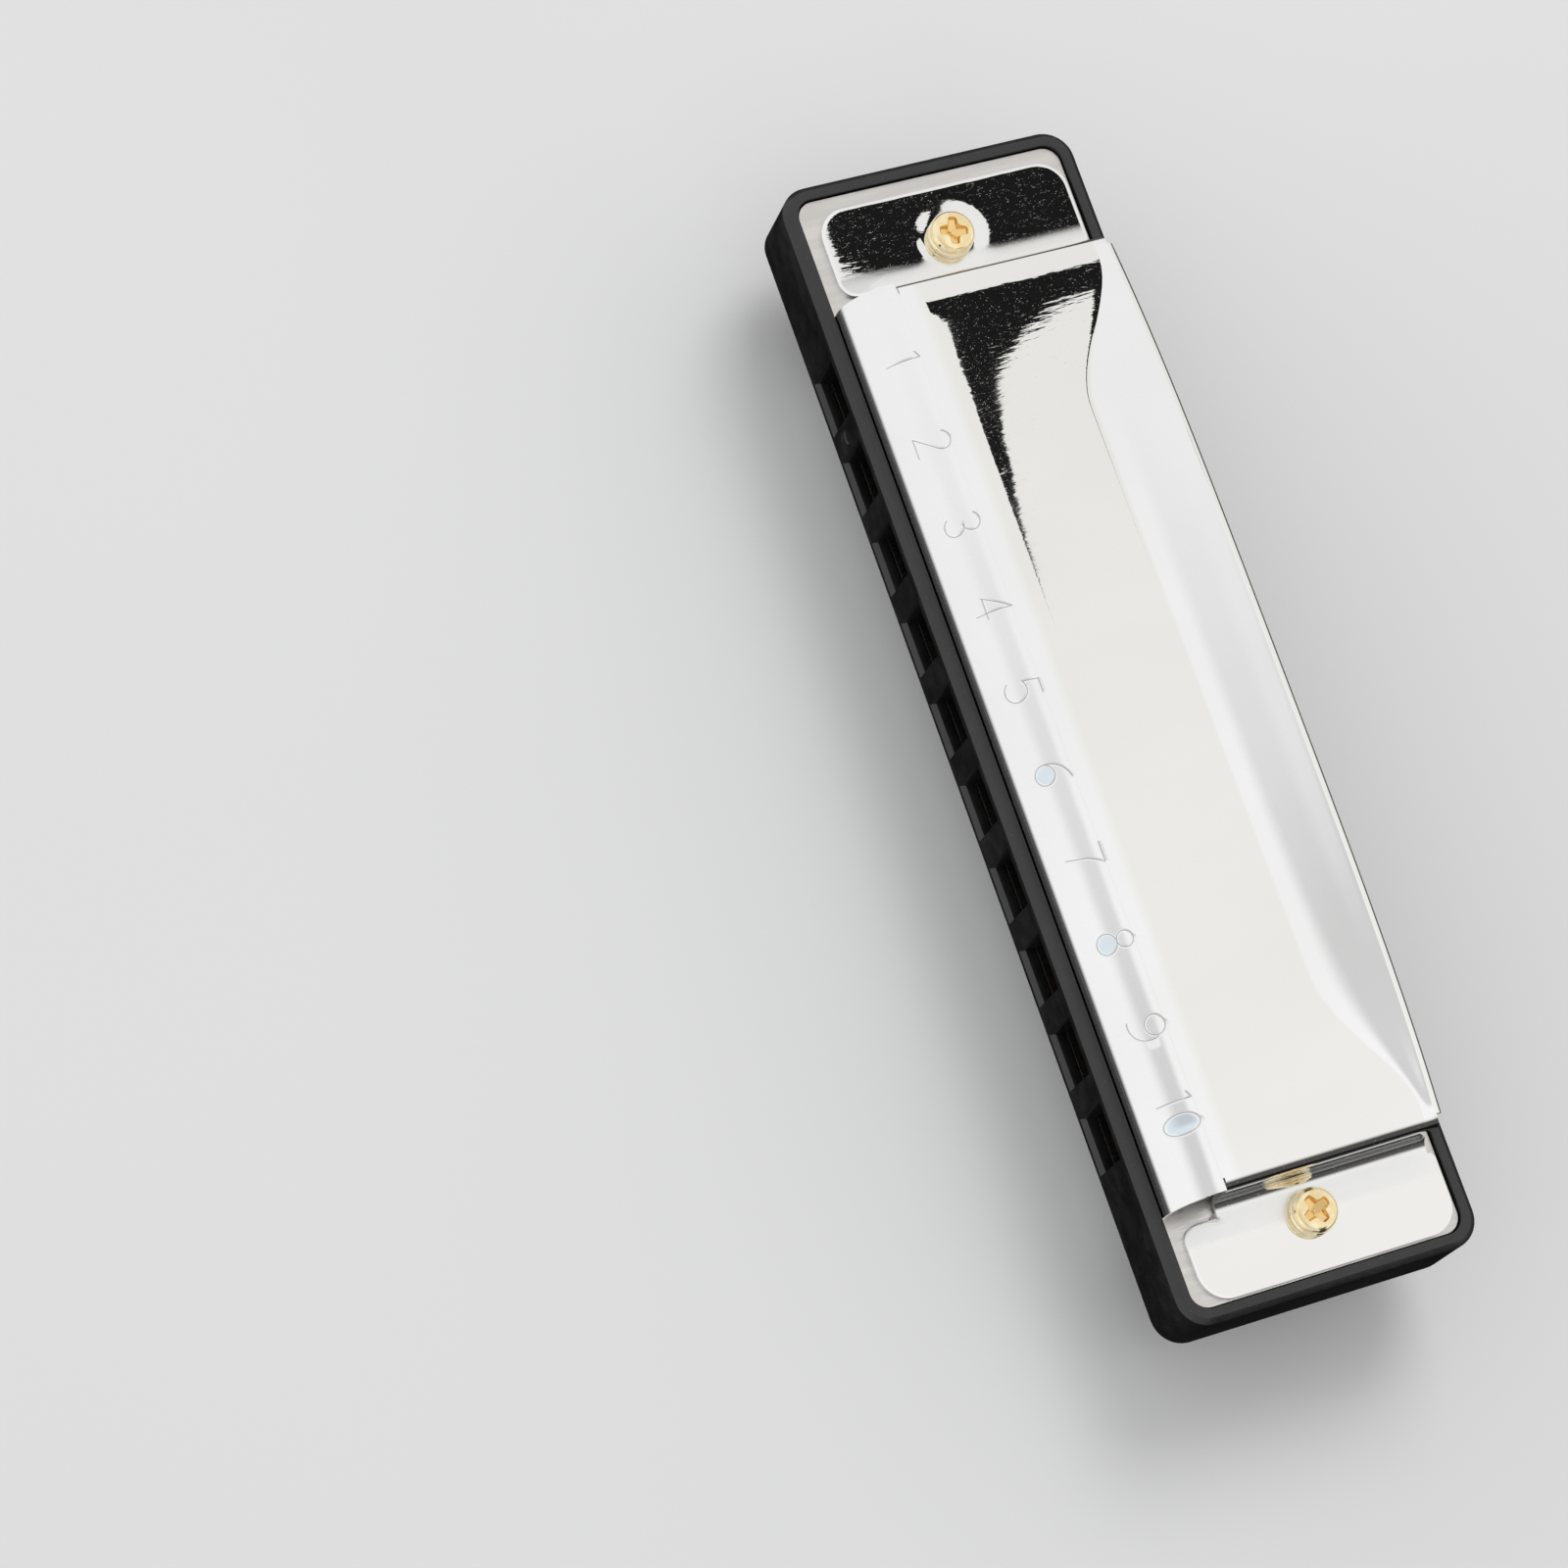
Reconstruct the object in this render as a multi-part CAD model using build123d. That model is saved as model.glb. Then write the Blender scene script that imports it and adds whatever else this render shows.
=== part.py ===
from build123d import *
import os
from math import asin, atan2, cos, pi, radians, sin, tan

# Ten-hole diatonic harmonica, in millimetres.
# +X runs from hole 1 to hole 10, -Y is the mouth side, +Z is up (blow side).
# Pieces are modelled about the comb's middle plane and raised by BASE_TO_MIDDLE on export,
# so that z = 0 is the lowest point of the lower cover and x = y = 0 is the centre of the comb.

# Comb: one moulding, with a raised rim round a recess on each face
COMB_LENGTH = 102.0
COMB_DEPTH = 27.0
CORE_THICKNESS = 5.25
RIM_RISE = 1.33
RIM_WALL = 1.2
RIM_BEVEL = 0.45
COMB_CORNER_RADIUS = 2.6
RIM_INNER_RADIUS = 1.6

# Mouth holes and the channels behind them
HOLE_COUNT = 10
HOLE_PITCH = 7.44
HOLE_WIDTH = 4.7
CHANNEL_END_GAP = 1.2

# Reed plates
PLATE_THICKNESS = 0.9
PLATE_TO_RIM_GAP = 0.15
PLATE_CORNER_RADIUS = 1.5

# Reeds: a riveted base and a free tongue, lowest note on hole 1
BASE_FRONT_INSET = 2.2
BASE_LENGTH = 3.0
BASE_WIDTH = 3.0
BASE_THICKNESS = 0.25
TONGUE_THICKNESS = 0.2
BLOW_TONGUE_LONG = 16.5
BLOW_TONGUE_SHORT = 9.0
DRAW_TONGUE_LONG = 16.0
DRAW_TONGUE_SHORT = 9.4
TONGUE_WIDTH_LONG = 2.2
TONGUE_WIDTH_SHORT = 1.9
TONGUE_SIDE_GAP = 0.07
TONGUE_ROOT_GAP = 0.03
TONGUE_TIP_GAP = 0.12
RIVET_RADIUS = 0.6
RIVET_HEAD_RADIUS = 0.95
RIVET_HEAD_HEIGHT = 0.25

# Covers: pressed sheet with a rounded nose, a flat top, a flared rear edge and end flanges.
# Offsets are towards hole 10: the raised part and the flanges are not centred on the comb.
SHEET = 0.4
COVER_RISE = 4.7
COVER_HALF_WIDTH = 40.4
COVER_OFFSET = 1.3
NOSE_RADIUS = 4.2
NOSE_TO_RIM_GAP = 0.1
SHOULDER_RADIUS = 1.0
FLANGE_BEND_RADIUS = 1.0
FLANGE_OFFSET = 0.6
FLANGE_END_GAP = 0.75
FLANGE_FRONT_GAP = 1.2
FLANGE_BACK_GAP = 0.25
FLANGE_CORNER_RADIUS = 2.6
NOSE_SLIT = 0.35
REAR_SETBACK = 1.6
FLARE_RISE = 2.0
FLARE_RISE_POWER = 3.5
FLARE_DEPTH = 3.9
FLARE_END_DEPTH = 0.7
FLARE_STRAIGHT_SHARE = 0.65
FLARE_LEAD = 0.4
FLARE_STATIONS = 12
LIP_RADIUS = 0.6
LIP_TURN = 80.0

# Fasteners
COVER_SCREW_INSET = 6.8
COVER_SCREW_RADIUS = 1.0
COVER_SCREW_HEAD_RADIUS = 2.0
COVER_SCREW_HEAD_HEIGHT = 1.55
COVER_SCREW_HEAD_ROUND = 0.62
COVER_NUT_ACROSS_FLATS = 4.0
COVER_NUT_HEIGHT = 1.6
CROSS_WIDTH = 0.55
CROSS_SPAN = 2.3
CROSS_DEPTH = 0.9
PLATE_SCREW_RADIUS = 0.7
PLATE_SCREW_LENGTH = 2.9
PLATE_SCREW_HEAD_RADIUS = 1.3
PLATE_SCREW_HEAD_HEIGHT = 0.7
PLATE_SCREW_SLOT_WIDTH = 0.4
PLATE_SCREW_SLOT_DEPTH = 0.35
PLATE_SCREW_FRONT_OFFSET = 3.7
PLATE_SCREW_BACK_INSET = 2.6
PLATE_SCREW_SPACING = 30.0
SCREW_HOLE_GAP = 0.2
THREAD_GAP = 0.03
QUARTER_TURN = 90

# Places worked out from the sizes above
RIM_Z = CORE_THICKNESS / 2 + RIM_RISE
PLATE_TOP_Z = CORE_THICKNESS / 2 + PLATE_THICKNESS
FLANGE_TOP_Z = PLATE_TOP_Z + SHEET
COVER_TOP_Z = RIM_Z + COVER_RISE
BASE_TO_MIDDLE = COVER_TOP_Z + FLARE_RISE
RECESS_HALF_LENGTH = COMB_LENGTH / 2 - RIM_WALL
RECESS_HALF_DEPTH = COMB_DEPTH / 2 - RIM_WALL
PLATE_HALF_LENGTH = RECESS_HALF_LENGTH - PLATE_TO_RIM_GAP
PLATE_HALF_DEPTH = RECESS_HALF_DEPTH - PLATE_TO_RIM_GAP
BASE_FRONT_Y = -PLATE_HALF_DEPTH + BASE_FRONT_INSET
RIVET_Y = BASE_FRONT_Y + BASE_LENGTH / 2
TONGUE_ROOT_Y = BASE_FRONT_Y + BASE_LENGTH + TONGUE_ROOT_GAP
NOSE_Y = -RECESS_HALF_DEPTH + NOSE_TO_RIM_GAP
TOP_FRONT_Y = NOSE_Y + NOSE_RADIUS
REAR_Y = COMB_DEPTH / 2 - REAR_SETBACK
CREST_Y = REAR_Y - LIP_RADIUS
FLAT_BACK_Y = CREST_Y - FLARE_DEPTH - FLARE_LEAD
TOP_HALF_WIDTH = COVER_HALF_WIDTH - SHOULDER_RADIUS
COVER_SCREW_HALF_SPACING = COMB_LENGTH / 2 - COVER_SCREW_INSET
COVER_SCREW_PLACES = [FLANGE_OFFSET + side * COVER_SCREW_HALF_SPACING for side in (-1, 1)]
PLATE_SCREW_FRONT_X = HOLE_PITCH * (HOLE_COUNT - 1) / 2 + PLATE_SCREW_FRONT_OFFSET
PLATE_SCREW_BACK_Y = COMB_DEPTH / 2 - PLATE_SCREW_BACK_INSET
PLATE_SCREW_PLACES = [
    (-PLATE_SCREW_FRONT_X, RIVET_Y),
    (PLATE_SCREW_FRONT_X, RIVET_Y),
    (-PLATE_SCREW_SPACING, PLATE_SCREW_BACK_Y),
    (0.0, PLATE_SCREW_BACK_Y),
    (PLATE_SCREW_SPACING, PLATE_SCREW_BACK_Y),
]


def hole_x(hole):
    """Middle of a mouth hole, counted from 1."""
    return (hole - (HOLE_COUNT + 1) / 2) * HOLE_PITCH


def graded(first, last, hole):
    """A size that changes evenly from hole 1 to the last hole."""
    return first + (last - first) * (hole - 1) / (HOLE_COUNT - 1)


def block(x_span, y_span, z_span):
    """A box between three pairs of limits."""
    size = [high - low for low, high in (x_span, y_span, z_span)]
    middle = [(high + low) / 2 for low, high in (x_span, y_span, z_span)]
    return Pos(*middle) * Box(*size)


def rounded_slab(half_x, half_y, z_low, z_high, radius):
    """A flat slab about the Z axis with rounded upright corners."""
    outline = RectangleRounded(2 * half_x, 2 * half_y, radius)
    return Pos(0, 0, z_low) * extrude(outline, z_high - z_low)


def upright_pin(x, y, z_low, z_high, radius):
    """A cylinder between two heights."""
    return Pos(x, y, (z_low + z_high) / 2) * Cylinder(radius, z_high - z_low)


def turned_over(shape):
    """The same piece on the other face of the comb, mouth side kept."""
    return mirror(shape, about=Plane.XY)


def blow_tongue_length(hole):
    return graded(BLOW_TONGUE_LONG, BLOW_TONGUE_SHORT, hole)


def draw_tongue_length(hole):
    return graded(DRAW_TONGUE_LONG, DRAW_TONGUE_SHORT, hole)


def tongue_width(hole):
    return graded(TONGUE_WIDTH_LONG, TONGUE_WIDTH_SHORT, hole)


def channel_back_y(hole):
    """Back end of a channel: past the tip of the longer of its two reeds."""
    reach = max(blow_tongue_length(hole), draw_tongue_length(hole))
    return TONGUE_ROOT_Y + reach + TONGUE_TIP_GAP + CHANNEL_END_GAP


def comb():
    """The black moulding: rims, recesses, ten channels and the screw holes."""
    body = rounded_slab(COMB_LENGTH / 2, COMB_DEPTH / 2, -RIM_Z, RIM_Z, COMB_CORNER_RADIUS)
    outer_edges = body.edges().group_by(Axis.Z)
    body = chamfer(outer_edges[-1] + outer_edges[0], RIM_BEVEL)
    recess = rounded_slab(
        RECESS_HALF_LENGTH, RECESS_HALF_DEPTH, CORE_THICKNESS / 2, RIM_Z, RIM_INNER_RADIUS
    )
    body -= recess
    body -= turned_over(recess)
    for hole in range(1, HOLE_COUNT + 1):
        x = hole_x(hole)
        body -= block(
            (x - HOLE_WIDTH / 2, x + HOLE_WIDTH / 2),
            (-COMB_DEPTH / 2, channel_back_y(hole)),
            (-CORE_THICKNESS / 2, CORE_THICKNESS / 2),
        )
    for x in COVER_SCREW_PLACES:
        body -= upright_pin(x, 0, -RIM_Z, RIM_Z, COVER_SCREW_RADIUS + SCREW_HOLE_GAP)
    pilot_floor = PLATE_TOP_Z - PLATE_SCREW_LENGTH - SCREW_HOLE_GAP
    for x, y in PLATE_SCREW_PLACES:
        pilot = upright_pin(x, y, pilot_floor, RIM_Z, PLATE_SCREW_RADIUS + THREAD_GAP)
        body -= pilot
        body -= turned_over(pilot)
    return body


def reed_plate(tongue_length):
    """The upper plate: ten slots, rivet holes and screw holes."""
    plate = rounded_slab(
        PLATE_HALF_LENGTH,
        PLATE_HALF_DEPTH,
        CORE_THICKNESS / 2,
        PLATE_TOP_Z,
        PLATE_CORNER_RADIUS,
    )
    z_span = (CORE_THICKNESS / 2, PLATE_TOP_Z)
    for hole in range(1, HOLE_COUNT + 1):
        x = hole_x(hole)
        half_slot = tongue_width(hole) / 2 + TONGUE_SIDE_GAP
        slot_end = TONGUE_ROOT_Y + tongue_length(hole) + TONGUE_TIP_GAP
        plate -= block((x - half_slot, x + half_slot), (TONGUE_ROOT_Y, slot_end), z_span)
        plate -= upright_pin(x, RIVET_Y, *z_span, RIVET_RADIUS + THREAD_GAP)
    for x in COVER_SCREW_PLACES:
        plate -= upright_pin(x, 0, *z_span, COVER_SCREW_RADIUS + SCREW_HOLE_GAP)
    for x, y in PLATE_SCREW_PLACES:
        plate -= upright_pin(x, y, *z_span, PLATE_SCREW_RADIUS + SCREW_HOLE_GAP)
    return plate


def reed_tongue(hole, tongue_length, z_low):
    """The free part of one reed, lying along its plate's face."""
    x = hole_x(hole)
    half_width = tongue_width(hole) / 2
    y_span = (TONGUE_ROOT_Y, TONGUE_ROOT_Y + tongue_length(hole))
    return block((x - half_width, x + half_width), y_span, (z_low, z_low + TONGUE_THICKNESS))


def reed_bases(z_low):
    """The ten riveted ends of one plate's reeds."""
    bases = []
    for hole in range(1, HOLE_COUNT + 1):
        x = hole_x(hole)
        y_span = (BASE_FRONT_Y, BASE_FRONT_Y + BASE_LENGTH)
        z_span = (z_low, z_low + BASE_THICKNESS)
        base = block((x - BASE_WIDTH / 2, x + BASE_WIDTH / 2), y_span, z_span)
        bases.append(base - upright_pin(x, RIVET_Y, *z_span, RIVET_RADIUS + THREAD_GAP))
    return Compound(children=bases)


def reed_rivets(base_z, shank_end_z):
    """Ten rivets, each with its head under the reed base and its tail flush in the plate."""
    rivets = []
    for hole in range(1, HOLE_COUNT + 1):
        x = hole_x(hole)
        head = upright_pin(x, RIVET_Y, base_z - RIVET_HEAD_HEIGHT, base_z, RIVET_HEAD_RADIUS)
        rivets.append(head + upright_pin(x, RIVET_Y, base_z, shank_end_z, RIVET_RADIUS))
    return Compound(children=rivets)


def flare_rise(x):
    """How far the rear edge stands above the flat top: full in the middle, none at the ends."""
    return FLARE_RISE * (1 - (abs(x) / TOP_HALF_WIDTH) ** FLARE_RISE_POWER)


def flare_depth(x):
    """Front-to-back depth of the flare: even along its middle, narrow at the ends."""
    straight_half = TOP_HALF_WIDTH * FLARE_STRAIGHT_SHARE
    along_fade = max(0.0, abs(x) - straight_half) / (TOP_HALF_WIDTH - straight_half)
    share = (1 + cos(pi * along_fade)) / 2
    return FLARE_END_DEPTH + (FLARE_DEPTH - FLARE_END_DEPTH) * share


def flare_section(x):
    """Sheet section of the rear flare at one place along its length, as a closed face."""
    centre_z = COVER_TOP_Z + flare_rise(x) - LIP_RADIUS
    crease_y = CREST_Y - flare_depth(x)
    along = CREST_Y - crease_y
    up = centre_z - COVER_TOP_Z
    slope = atan2(up, along) + asin(LIP_RADIUS / (along**2 + up**2) ** 0.5)
    turn = radians(LIP_TURN)
    inner_radius = LIP_RADIUS - SHEET
    inner_z = COVER_TOP_Z - SHEET

    def lip_point(radius, angle):
        return Vector(x, CREST_Y + radius * sin(angle), centre_z + radius * cos(angle))

    outer_start = Vector(x, FLAT_BACK_Y, COVER_TOP_Z)
    outer_crease = Vector(x, crease_y, COVER_TOP_Z)
    inner_crease = Vector(x, crease_y + SHEET * tan(slope / 2), inner_z)
    inner_start = Vector(x, FLAT_BACK_Y, inner_z)
    outer_lip = [lip_point(LIP_RADIUS, a) for a in (-slope, (turn - slope) / 2, turn)]
    inner_lip = [lip_point(inner_radius, a) for a in (turn, (turn - slope) / 2, -slope)]
    edges = [
        Edge.make_line(outer_start, outer_crease),
        Edge.make_line(outer_crease, outer_lip[0]),
        Edge.make_three_point_arc(*outer_lip),
        Edge.make_line(outer_lip[2], inner_lip[0]),
        Edge.make_three_point_arc(*inner_lip),
        Edge.make_line(inner_lip[2], inner_crease),
        Edge.make_line(inner_crease, inner_start),
        Edge.make_line(inner_start, outer_start),
    ]
    return Face(Wire(edges))


def rear_flare():
    """The raised rear edge with its rolled lip, lofted from one shoulder to the other."""
    step = TOP_HALF_WIDTH / FLARE_STATIONS
    stations = [step * n for n in range(-FLARE_STATIONS, FLARE_STATIONS + 1)]
    return loft([flare_section(x) for x in stations])


def flat_top():
    """The flat of the cover, between the nose and the flare."""
    return block(
        (-TOP_HALF_WIDTH, TOP_HALF_WIDTH),
        (TOP_FRONT_Y, FLAT_BACK_Y),
        (COVER_TOP_Z - SHEET, COVER_TOP_Z),
    )


def nose():
    """The rounded front edge, open at both ends, standing on the reed plate."""
    centre_z = COVER_TOP_Z - NOSE_RADIUS
    inner = NOSE_RADIUS - SHEET
    half = COVER_HALF_WIDTH

    def curve_point(radius, angle):
        return (TOP_FRONT_Y - radius * cos(angle), centre_z + radius * sin(angle))

    outer_arc = [curve_point(NOSE_RADIUS, radians(a)) for a in (0, 45, 90)]
    inner_arc = [curve_point(inner, radians(a)) for a in (90, 45, 0)]
    foot_outer = (NOSE_Y, PLATE_TOP_Z)
    foot_inner = (NOSE_Y + SHEET, PLATE_TOP_Z)

    def place(point):
        return Vector(-half, point[0], point[1])

    edges = [
        Edge.make_line(place(foot_outer), place(outer_arc[0])),
        Edge.make_three_point_arc(*[place(p) for p in outer_arc]),
        Edge.make_line(place(outer_arc[2]), place(inner_arc[0])),
        Edge.make_three_point_arc(*[place(p) for p in inner_arc]),
        Edge.make_line(place(inner_arc[2]), place(foot_inner)),
        Edge.make_line(place(foot_inner), place(foot_outer)),
    ]
    return extrude(Face(Wire(edges)), amount=2 * half, dir=(1, 0, 0))


def end_wall():
    """Shoulder, upright wall and lower bend of one end, along the cover's depth."""
    wall_x = COVER_HALF_WIDTH
    shoulder = (wall_x - SHOULDER_RADIUS, COVER_TOP_Z - SHOULDER_RADIUS)
    bend = (wall_x + FLANGE_BEND_RADIUS, FLANGE_TOP_Z + FLANGE_BEND_RADIUS)
    front_y = TOP_FRONT_Y + NOSE_SLIT

    def place(x, z):
        return Vector(x, front_y, z)

    def on_shoulder(radius, angle):
        return place(shoulder[0] + radius * sin(radians(angle)), shoulder[1] + radius * cos(radians(angle)))

    def on_bend(radius, angle):
        return place(bend[0] - radius * cos(radians(angle)), bend[1] - radius * sin(radians(angle)))

    inner_shoulder = SHOULDER_RADIUS - SHEET
    under_bend = FLANGE_BEND_RADIUS + SHEET
    edges = [
        Edge.make_three_point_arc(*[on_shoulder(SHOULDER_RADIUS, a) for a in (0, 45, 90)]),
        Edge.make_line(on_shoulder(SHOULDER_RADIUS, 90), on_bend(FLANGE_BEND_RADIUS, 0)),
        Edge.make_three_point_arc(*[on_bend(FLANGE_BEND_RADIUS, a) for a in (0, 45, 90)]),
        Edge.make_line(on_bend(FLANGE_BEND_RADIUS, 90), on_bend(under_bend, 90)),
        Edge.make_three_point_arc(*[on_bend(under_bend, a) for a in (90, 45, 0)]),
        Edge.make_line(on_bend(under_bend, 0), on_shoulder(inner_shoulder, 90)),
        Edge.make_three_point_arc(*[on_shoulder(inner_shoulder, a) for a in (90, 45, 0)]),
        Edge.make_line(on_shoulder(inner_shoulder, 0), on_shoulder(SHOULDER_RADIUS, 0)),
    ]
    return extrude(Face(Wire(edges)), amount=CREST_Y - front_y, dir=(0, 1, 0))


def flange(side):
    """The flat end tab that a cover screw holds down: side is -1 by hole 1 and 1 by hole 10."""
    inner_x = COVER_OFFSET + side * (COVER_HALF_WIDTH + FLANGE_BEND_RADIUS)
    outer_x = FLANGE_OFFSET + side * (PLATE_HALF_LENGTH - FLANGE_END_GAP)
    x_span = sorted((inner_x, outer_x))
    y_span = (-PLATE_HALF_DEPTH + FLANGE_FRONT_GAP, PLATE_HALF_DEPTH - FLANGE_BACK_GAP)
    tab = block(x_span, y_span, (PLATE_TOP_Z, FLANGE_TOP_Z))
    tab = fillet(tab.edges().filter_by(Axis.Z), FLANGE_CORNER_RADIUS)
    screw_x = FLANGE_OFFSET + side * COVER_SCREW_HALF_SPACING
    hole_radius = COVER_SCREW_RADIUS + SCREW_HOLE_GAP
    hole = upright_pin(screw_x, 0, PLATE_TOP_Z, FLANGE_TOP_Z, hole_radius)
    return tab - hole


def cover():
    """The upper cover, pressed from one sheet."""
    wall = end_wall()
    raised = flat_top() + rear_flare() + nose() + wall + mirror(wall, about=Plane.YZ)
    return Pos(COVER_OFFSET, 0, 0) * raised + flange(-1) + flange(1)


def cross_recess(x, y, z_top):
    """A cross-shaped driver recess."""
    arms = Box(CROSS_SPAN, CROSS_WIDTH, CROSS_DEPTH) + Box(CROSS_WIDTH, CROSS_SPAN, CROSS_DEPTH)
    return Pos(x, y, z_top - CROSS_DEPTH / 2) * arms


def cover_screws():
    """Two pan-head screws that hold both covers and both plates to the comb."""
    screws = []
    head_top = FLANGE_TOP_Z + COVER_SCREW_HEAD_HEIGHT
    shank_end = -FLANGE_TOP_Z - COVER_NUT_HEIGHT
    for x in COVER_SCREW_PLACES:
        head = upright_pin(x, 0, FLANGE_TOP_Z, head_top, COVER_SCREW_HEAD_RADIUS)
        head = fillet(head.edges().sort_by(Axis.Z)[-1], COVER_SCREW_HEAD_ROUND)
        shank = upright_pin(x, 0, shank_end, FLANGE_TOP_Z, COVER_SCREW_RADIUS)
        screws.append(head + shank - cross_recess(x, 0, head_top))
    return Compound(children=screws)


def cover_nuts():
    """The hexagon nuts under the lower cover's flanges."""
    nuts = []
    top_z = -FLANGE_TOP_Z
    for x in COVER_SCREW_PLACES:
        outline = RegularPolygon(
            COVER_NUT_ACROSS_FLATS / 2, 6, major_radius=False, rotation=QUARTER_TURN
        )
        nut = Pos(x, 0, top_z - COVER_NUT_HEIGHT) * extrude(outline, COVER_NUT_HEIGHT)
        bore = upright_pin(x, 0, top_z - COVER_NUT_HEIGHT, top_z, COVER_SCREW_RADIUS + THREAD_GAP)
        nuts.append(nut - bore)
    return Compound(children=nuts)


def plate_screws():
    """The five small screws that hold the upper plate to the comb."""
    screws = []
    head_top = PLATE_TOP_Z + PLATE_SCREW_HEAD_HEIGHT
    for x, y in PLATE_SCREW_PLACES:
        head = upright_pin(x, y, PLATE_TOP_Z, head_top, PLATE_SCREW_HEAD_RADIUS)
        shank_end = PLATE_TOP_Z - PLATE_SCREW_LENGTH
        shank = upright_pin(x, y, shank_end, PLATE_TOP_Z, PLATE_SCREW_RADIUS)
        slot_x = (x - PLATE_SCREW_HEAD_RADIUS, x + PLATE_SCREW_HEAD_RADIUS)
        slot_half = PLATE_SCREW_SLOT_WIDTH / 2
        slot_z = (head_top - PLATE_SCREW_SLOT_DEPTH, head_top)
        slot = block(slot_x, (y - slot_half, y + slot_half), slot_z)
        screws.append(head + shank - slot)
    return Compound(children=screws)


def nodes():
    """Every piece by node name, about the comb's middle plane."""
    upper_cover = cover()
    upper_screws = plate_screws()
    blow_face = CORE_THICKNESS / 2
    draw_face = -PLATE_TOP_Z
    made = {
        "comb": comb(),
        "blow_reed_plate": reed_plate(blow_tongue_length),
        "draw_reed_plate": turned_over(reed_plate(draw_tongue_length)),
        "blow_reed_bases": reed_bases(blow_face - BASE_THICKNESS),
        "draw_reed_bases": reed_bases(draw_face - BASE_THICKNESS),
        "blow_reed_rivets": reed_rivets(blow_face - BASE_THICKNESS, PLATE_TOP_Z),
        "draw_reed_rivets": reed_rivets(draw_face - BASE_THICKNESS, -CORE_THICKNESS / 2),
        "top_cover": upper_cover,
        "bottom_cover": turned_over(upper_cover),
        "cover_screws": cover_screws(),
        "cover_nuts": cover_nuts(),
        "blow_plate_screws": upper_screws,
        "draw_plate_screws": turned_over(upper_screws),
    }
    for hole in range(1, HOLE_COUNT + 1):
        blow_z = blow_face - TONGUE_THICKNESS
        draw_z = draw_face - TONGUE_THICKNESS
        made[f"blow_reed_{hole}"] = reed_tongue(hole, blow_tongue_length, blow_z)
        made[f"draw_reed_{hole}"] = reed_tongue(hole, draw_tongue_length, draw_z)
    return made


os.makedirs("parts", exist_ok=True)
for name, shape in nodes().items():
    export_step(Pos(0, 0, BASE_TO_MIDDLE) * shape, f"parts/{name}.step")
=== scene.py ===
from math import atan2, asin, cos, pi, radians, sin

import bmesh
import bpy
import numpy as np
from mathutils import Matrix, Vector


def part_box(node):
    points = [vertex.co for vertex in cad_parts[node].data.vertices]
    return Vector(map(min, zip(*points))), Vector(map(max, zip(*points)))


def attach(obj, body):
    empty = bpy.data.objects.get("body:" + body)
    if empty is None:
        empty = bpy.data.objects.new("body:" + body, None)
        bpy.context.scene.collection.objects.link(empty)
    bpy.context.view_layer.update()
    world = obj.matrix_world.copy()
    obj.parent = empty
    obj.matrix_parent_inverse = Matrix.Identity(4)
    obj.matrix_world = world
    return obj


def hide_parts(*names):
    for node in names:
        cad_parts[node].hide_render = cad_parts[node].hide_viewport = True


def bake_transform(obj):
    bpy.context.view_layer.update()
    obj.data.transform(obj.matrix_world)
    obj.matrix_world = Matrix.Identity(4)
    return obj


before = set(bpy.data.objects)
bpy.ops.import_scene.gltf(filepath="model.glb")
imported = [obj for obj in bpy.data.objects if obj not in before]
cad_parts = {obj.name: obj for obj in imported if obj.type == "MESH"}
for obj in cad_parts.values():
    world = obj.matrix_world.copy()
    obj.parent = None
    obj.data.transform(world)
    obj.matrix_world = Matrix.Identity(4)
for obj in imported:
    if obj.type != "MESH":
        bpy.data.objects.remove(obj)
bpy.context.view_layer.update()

# Shapes are worked out in millimetres about the comb's middle plane, as the CAD is, and put into
# metres by to_world. +X runs from hole 1 to hole 10, -Y is the mouth side, +Z is up.
MM = 0.001
COMB_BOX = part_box("comb")
MIDDLE_Z = (COMB_BOX[0].z + COMB_BOX[1].z) / 2 / MM
CORE_HALF = 2.625
PLATE_TOP = 3.525
SHEET = 0.4
FLANGE_TOP = PLATE_TOP + SHEET
COVER_TOP = 8.655
NOSE_Y = -12.2
NOSE_RADIUS = 4.2
TOP_FRONT_Y = NOSE_Y + NOSE_RADIUS
COVER_OFFSET = 1.3
COVER_HALF = 40.4
TOP_HALF = 39.4
SHOULDER = 1.0
BEND = 1.0
CREST_Y = 11.3
LIP = 0.6
FLARE_RISE = 2.0
FLARE_POWER = 3.5
FLARE_DEPTH = 3.9
FLARE_END_DEPTH = 0.7
FLARE_STRAIGHT = 0.65
NOSE_SLIT = 0.16
BEND_STRIP = 0.25
FLANGE_X = {-1: (-48.3, -40.1 - BEND_STRIP), 1: (42.7 + BEND_STRIP, 49.5)}
BEND_LIFT = {-1: 0.05, 1: 0.15}
BEND_LIFT_WIDTH = {-1: 1.8, 1: 2.2}
FLANGE_Y = {-1: (-10.95, 11.9), 1: (-11.2, 11.9)}
SCREW_X = {-1: -43.6, 1: 44.8}
HOLES = range(1, 11)


def hole_x(hole):
    return (hole - 5.5) * 7.44


def smooth(t):
    t = np.clip(t, 0.0, 1.0)
    return t * t * (3 - 2 * t)


def to_world(points):
    points = np.array(points, float).reshape(-1, 3)
    points[:, 2] += MIDDLE_Z
    return points * MM


def mesh_object(name, points, faces, flat=False):
    mesh = bpy.data.meshes.new(name)
    mesh.from_pydata(to_world(points).tolist(), [], [list(map(int, f)) for f in faces])
    mesh.validate()
    mesh.update()
    if not flat:
        mesh.shade_smooth()
    obj = bpy.data.objects.new(name, mesh)
    bpy.context.scene.collection.objects.link(obj)
    return obj


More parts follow.
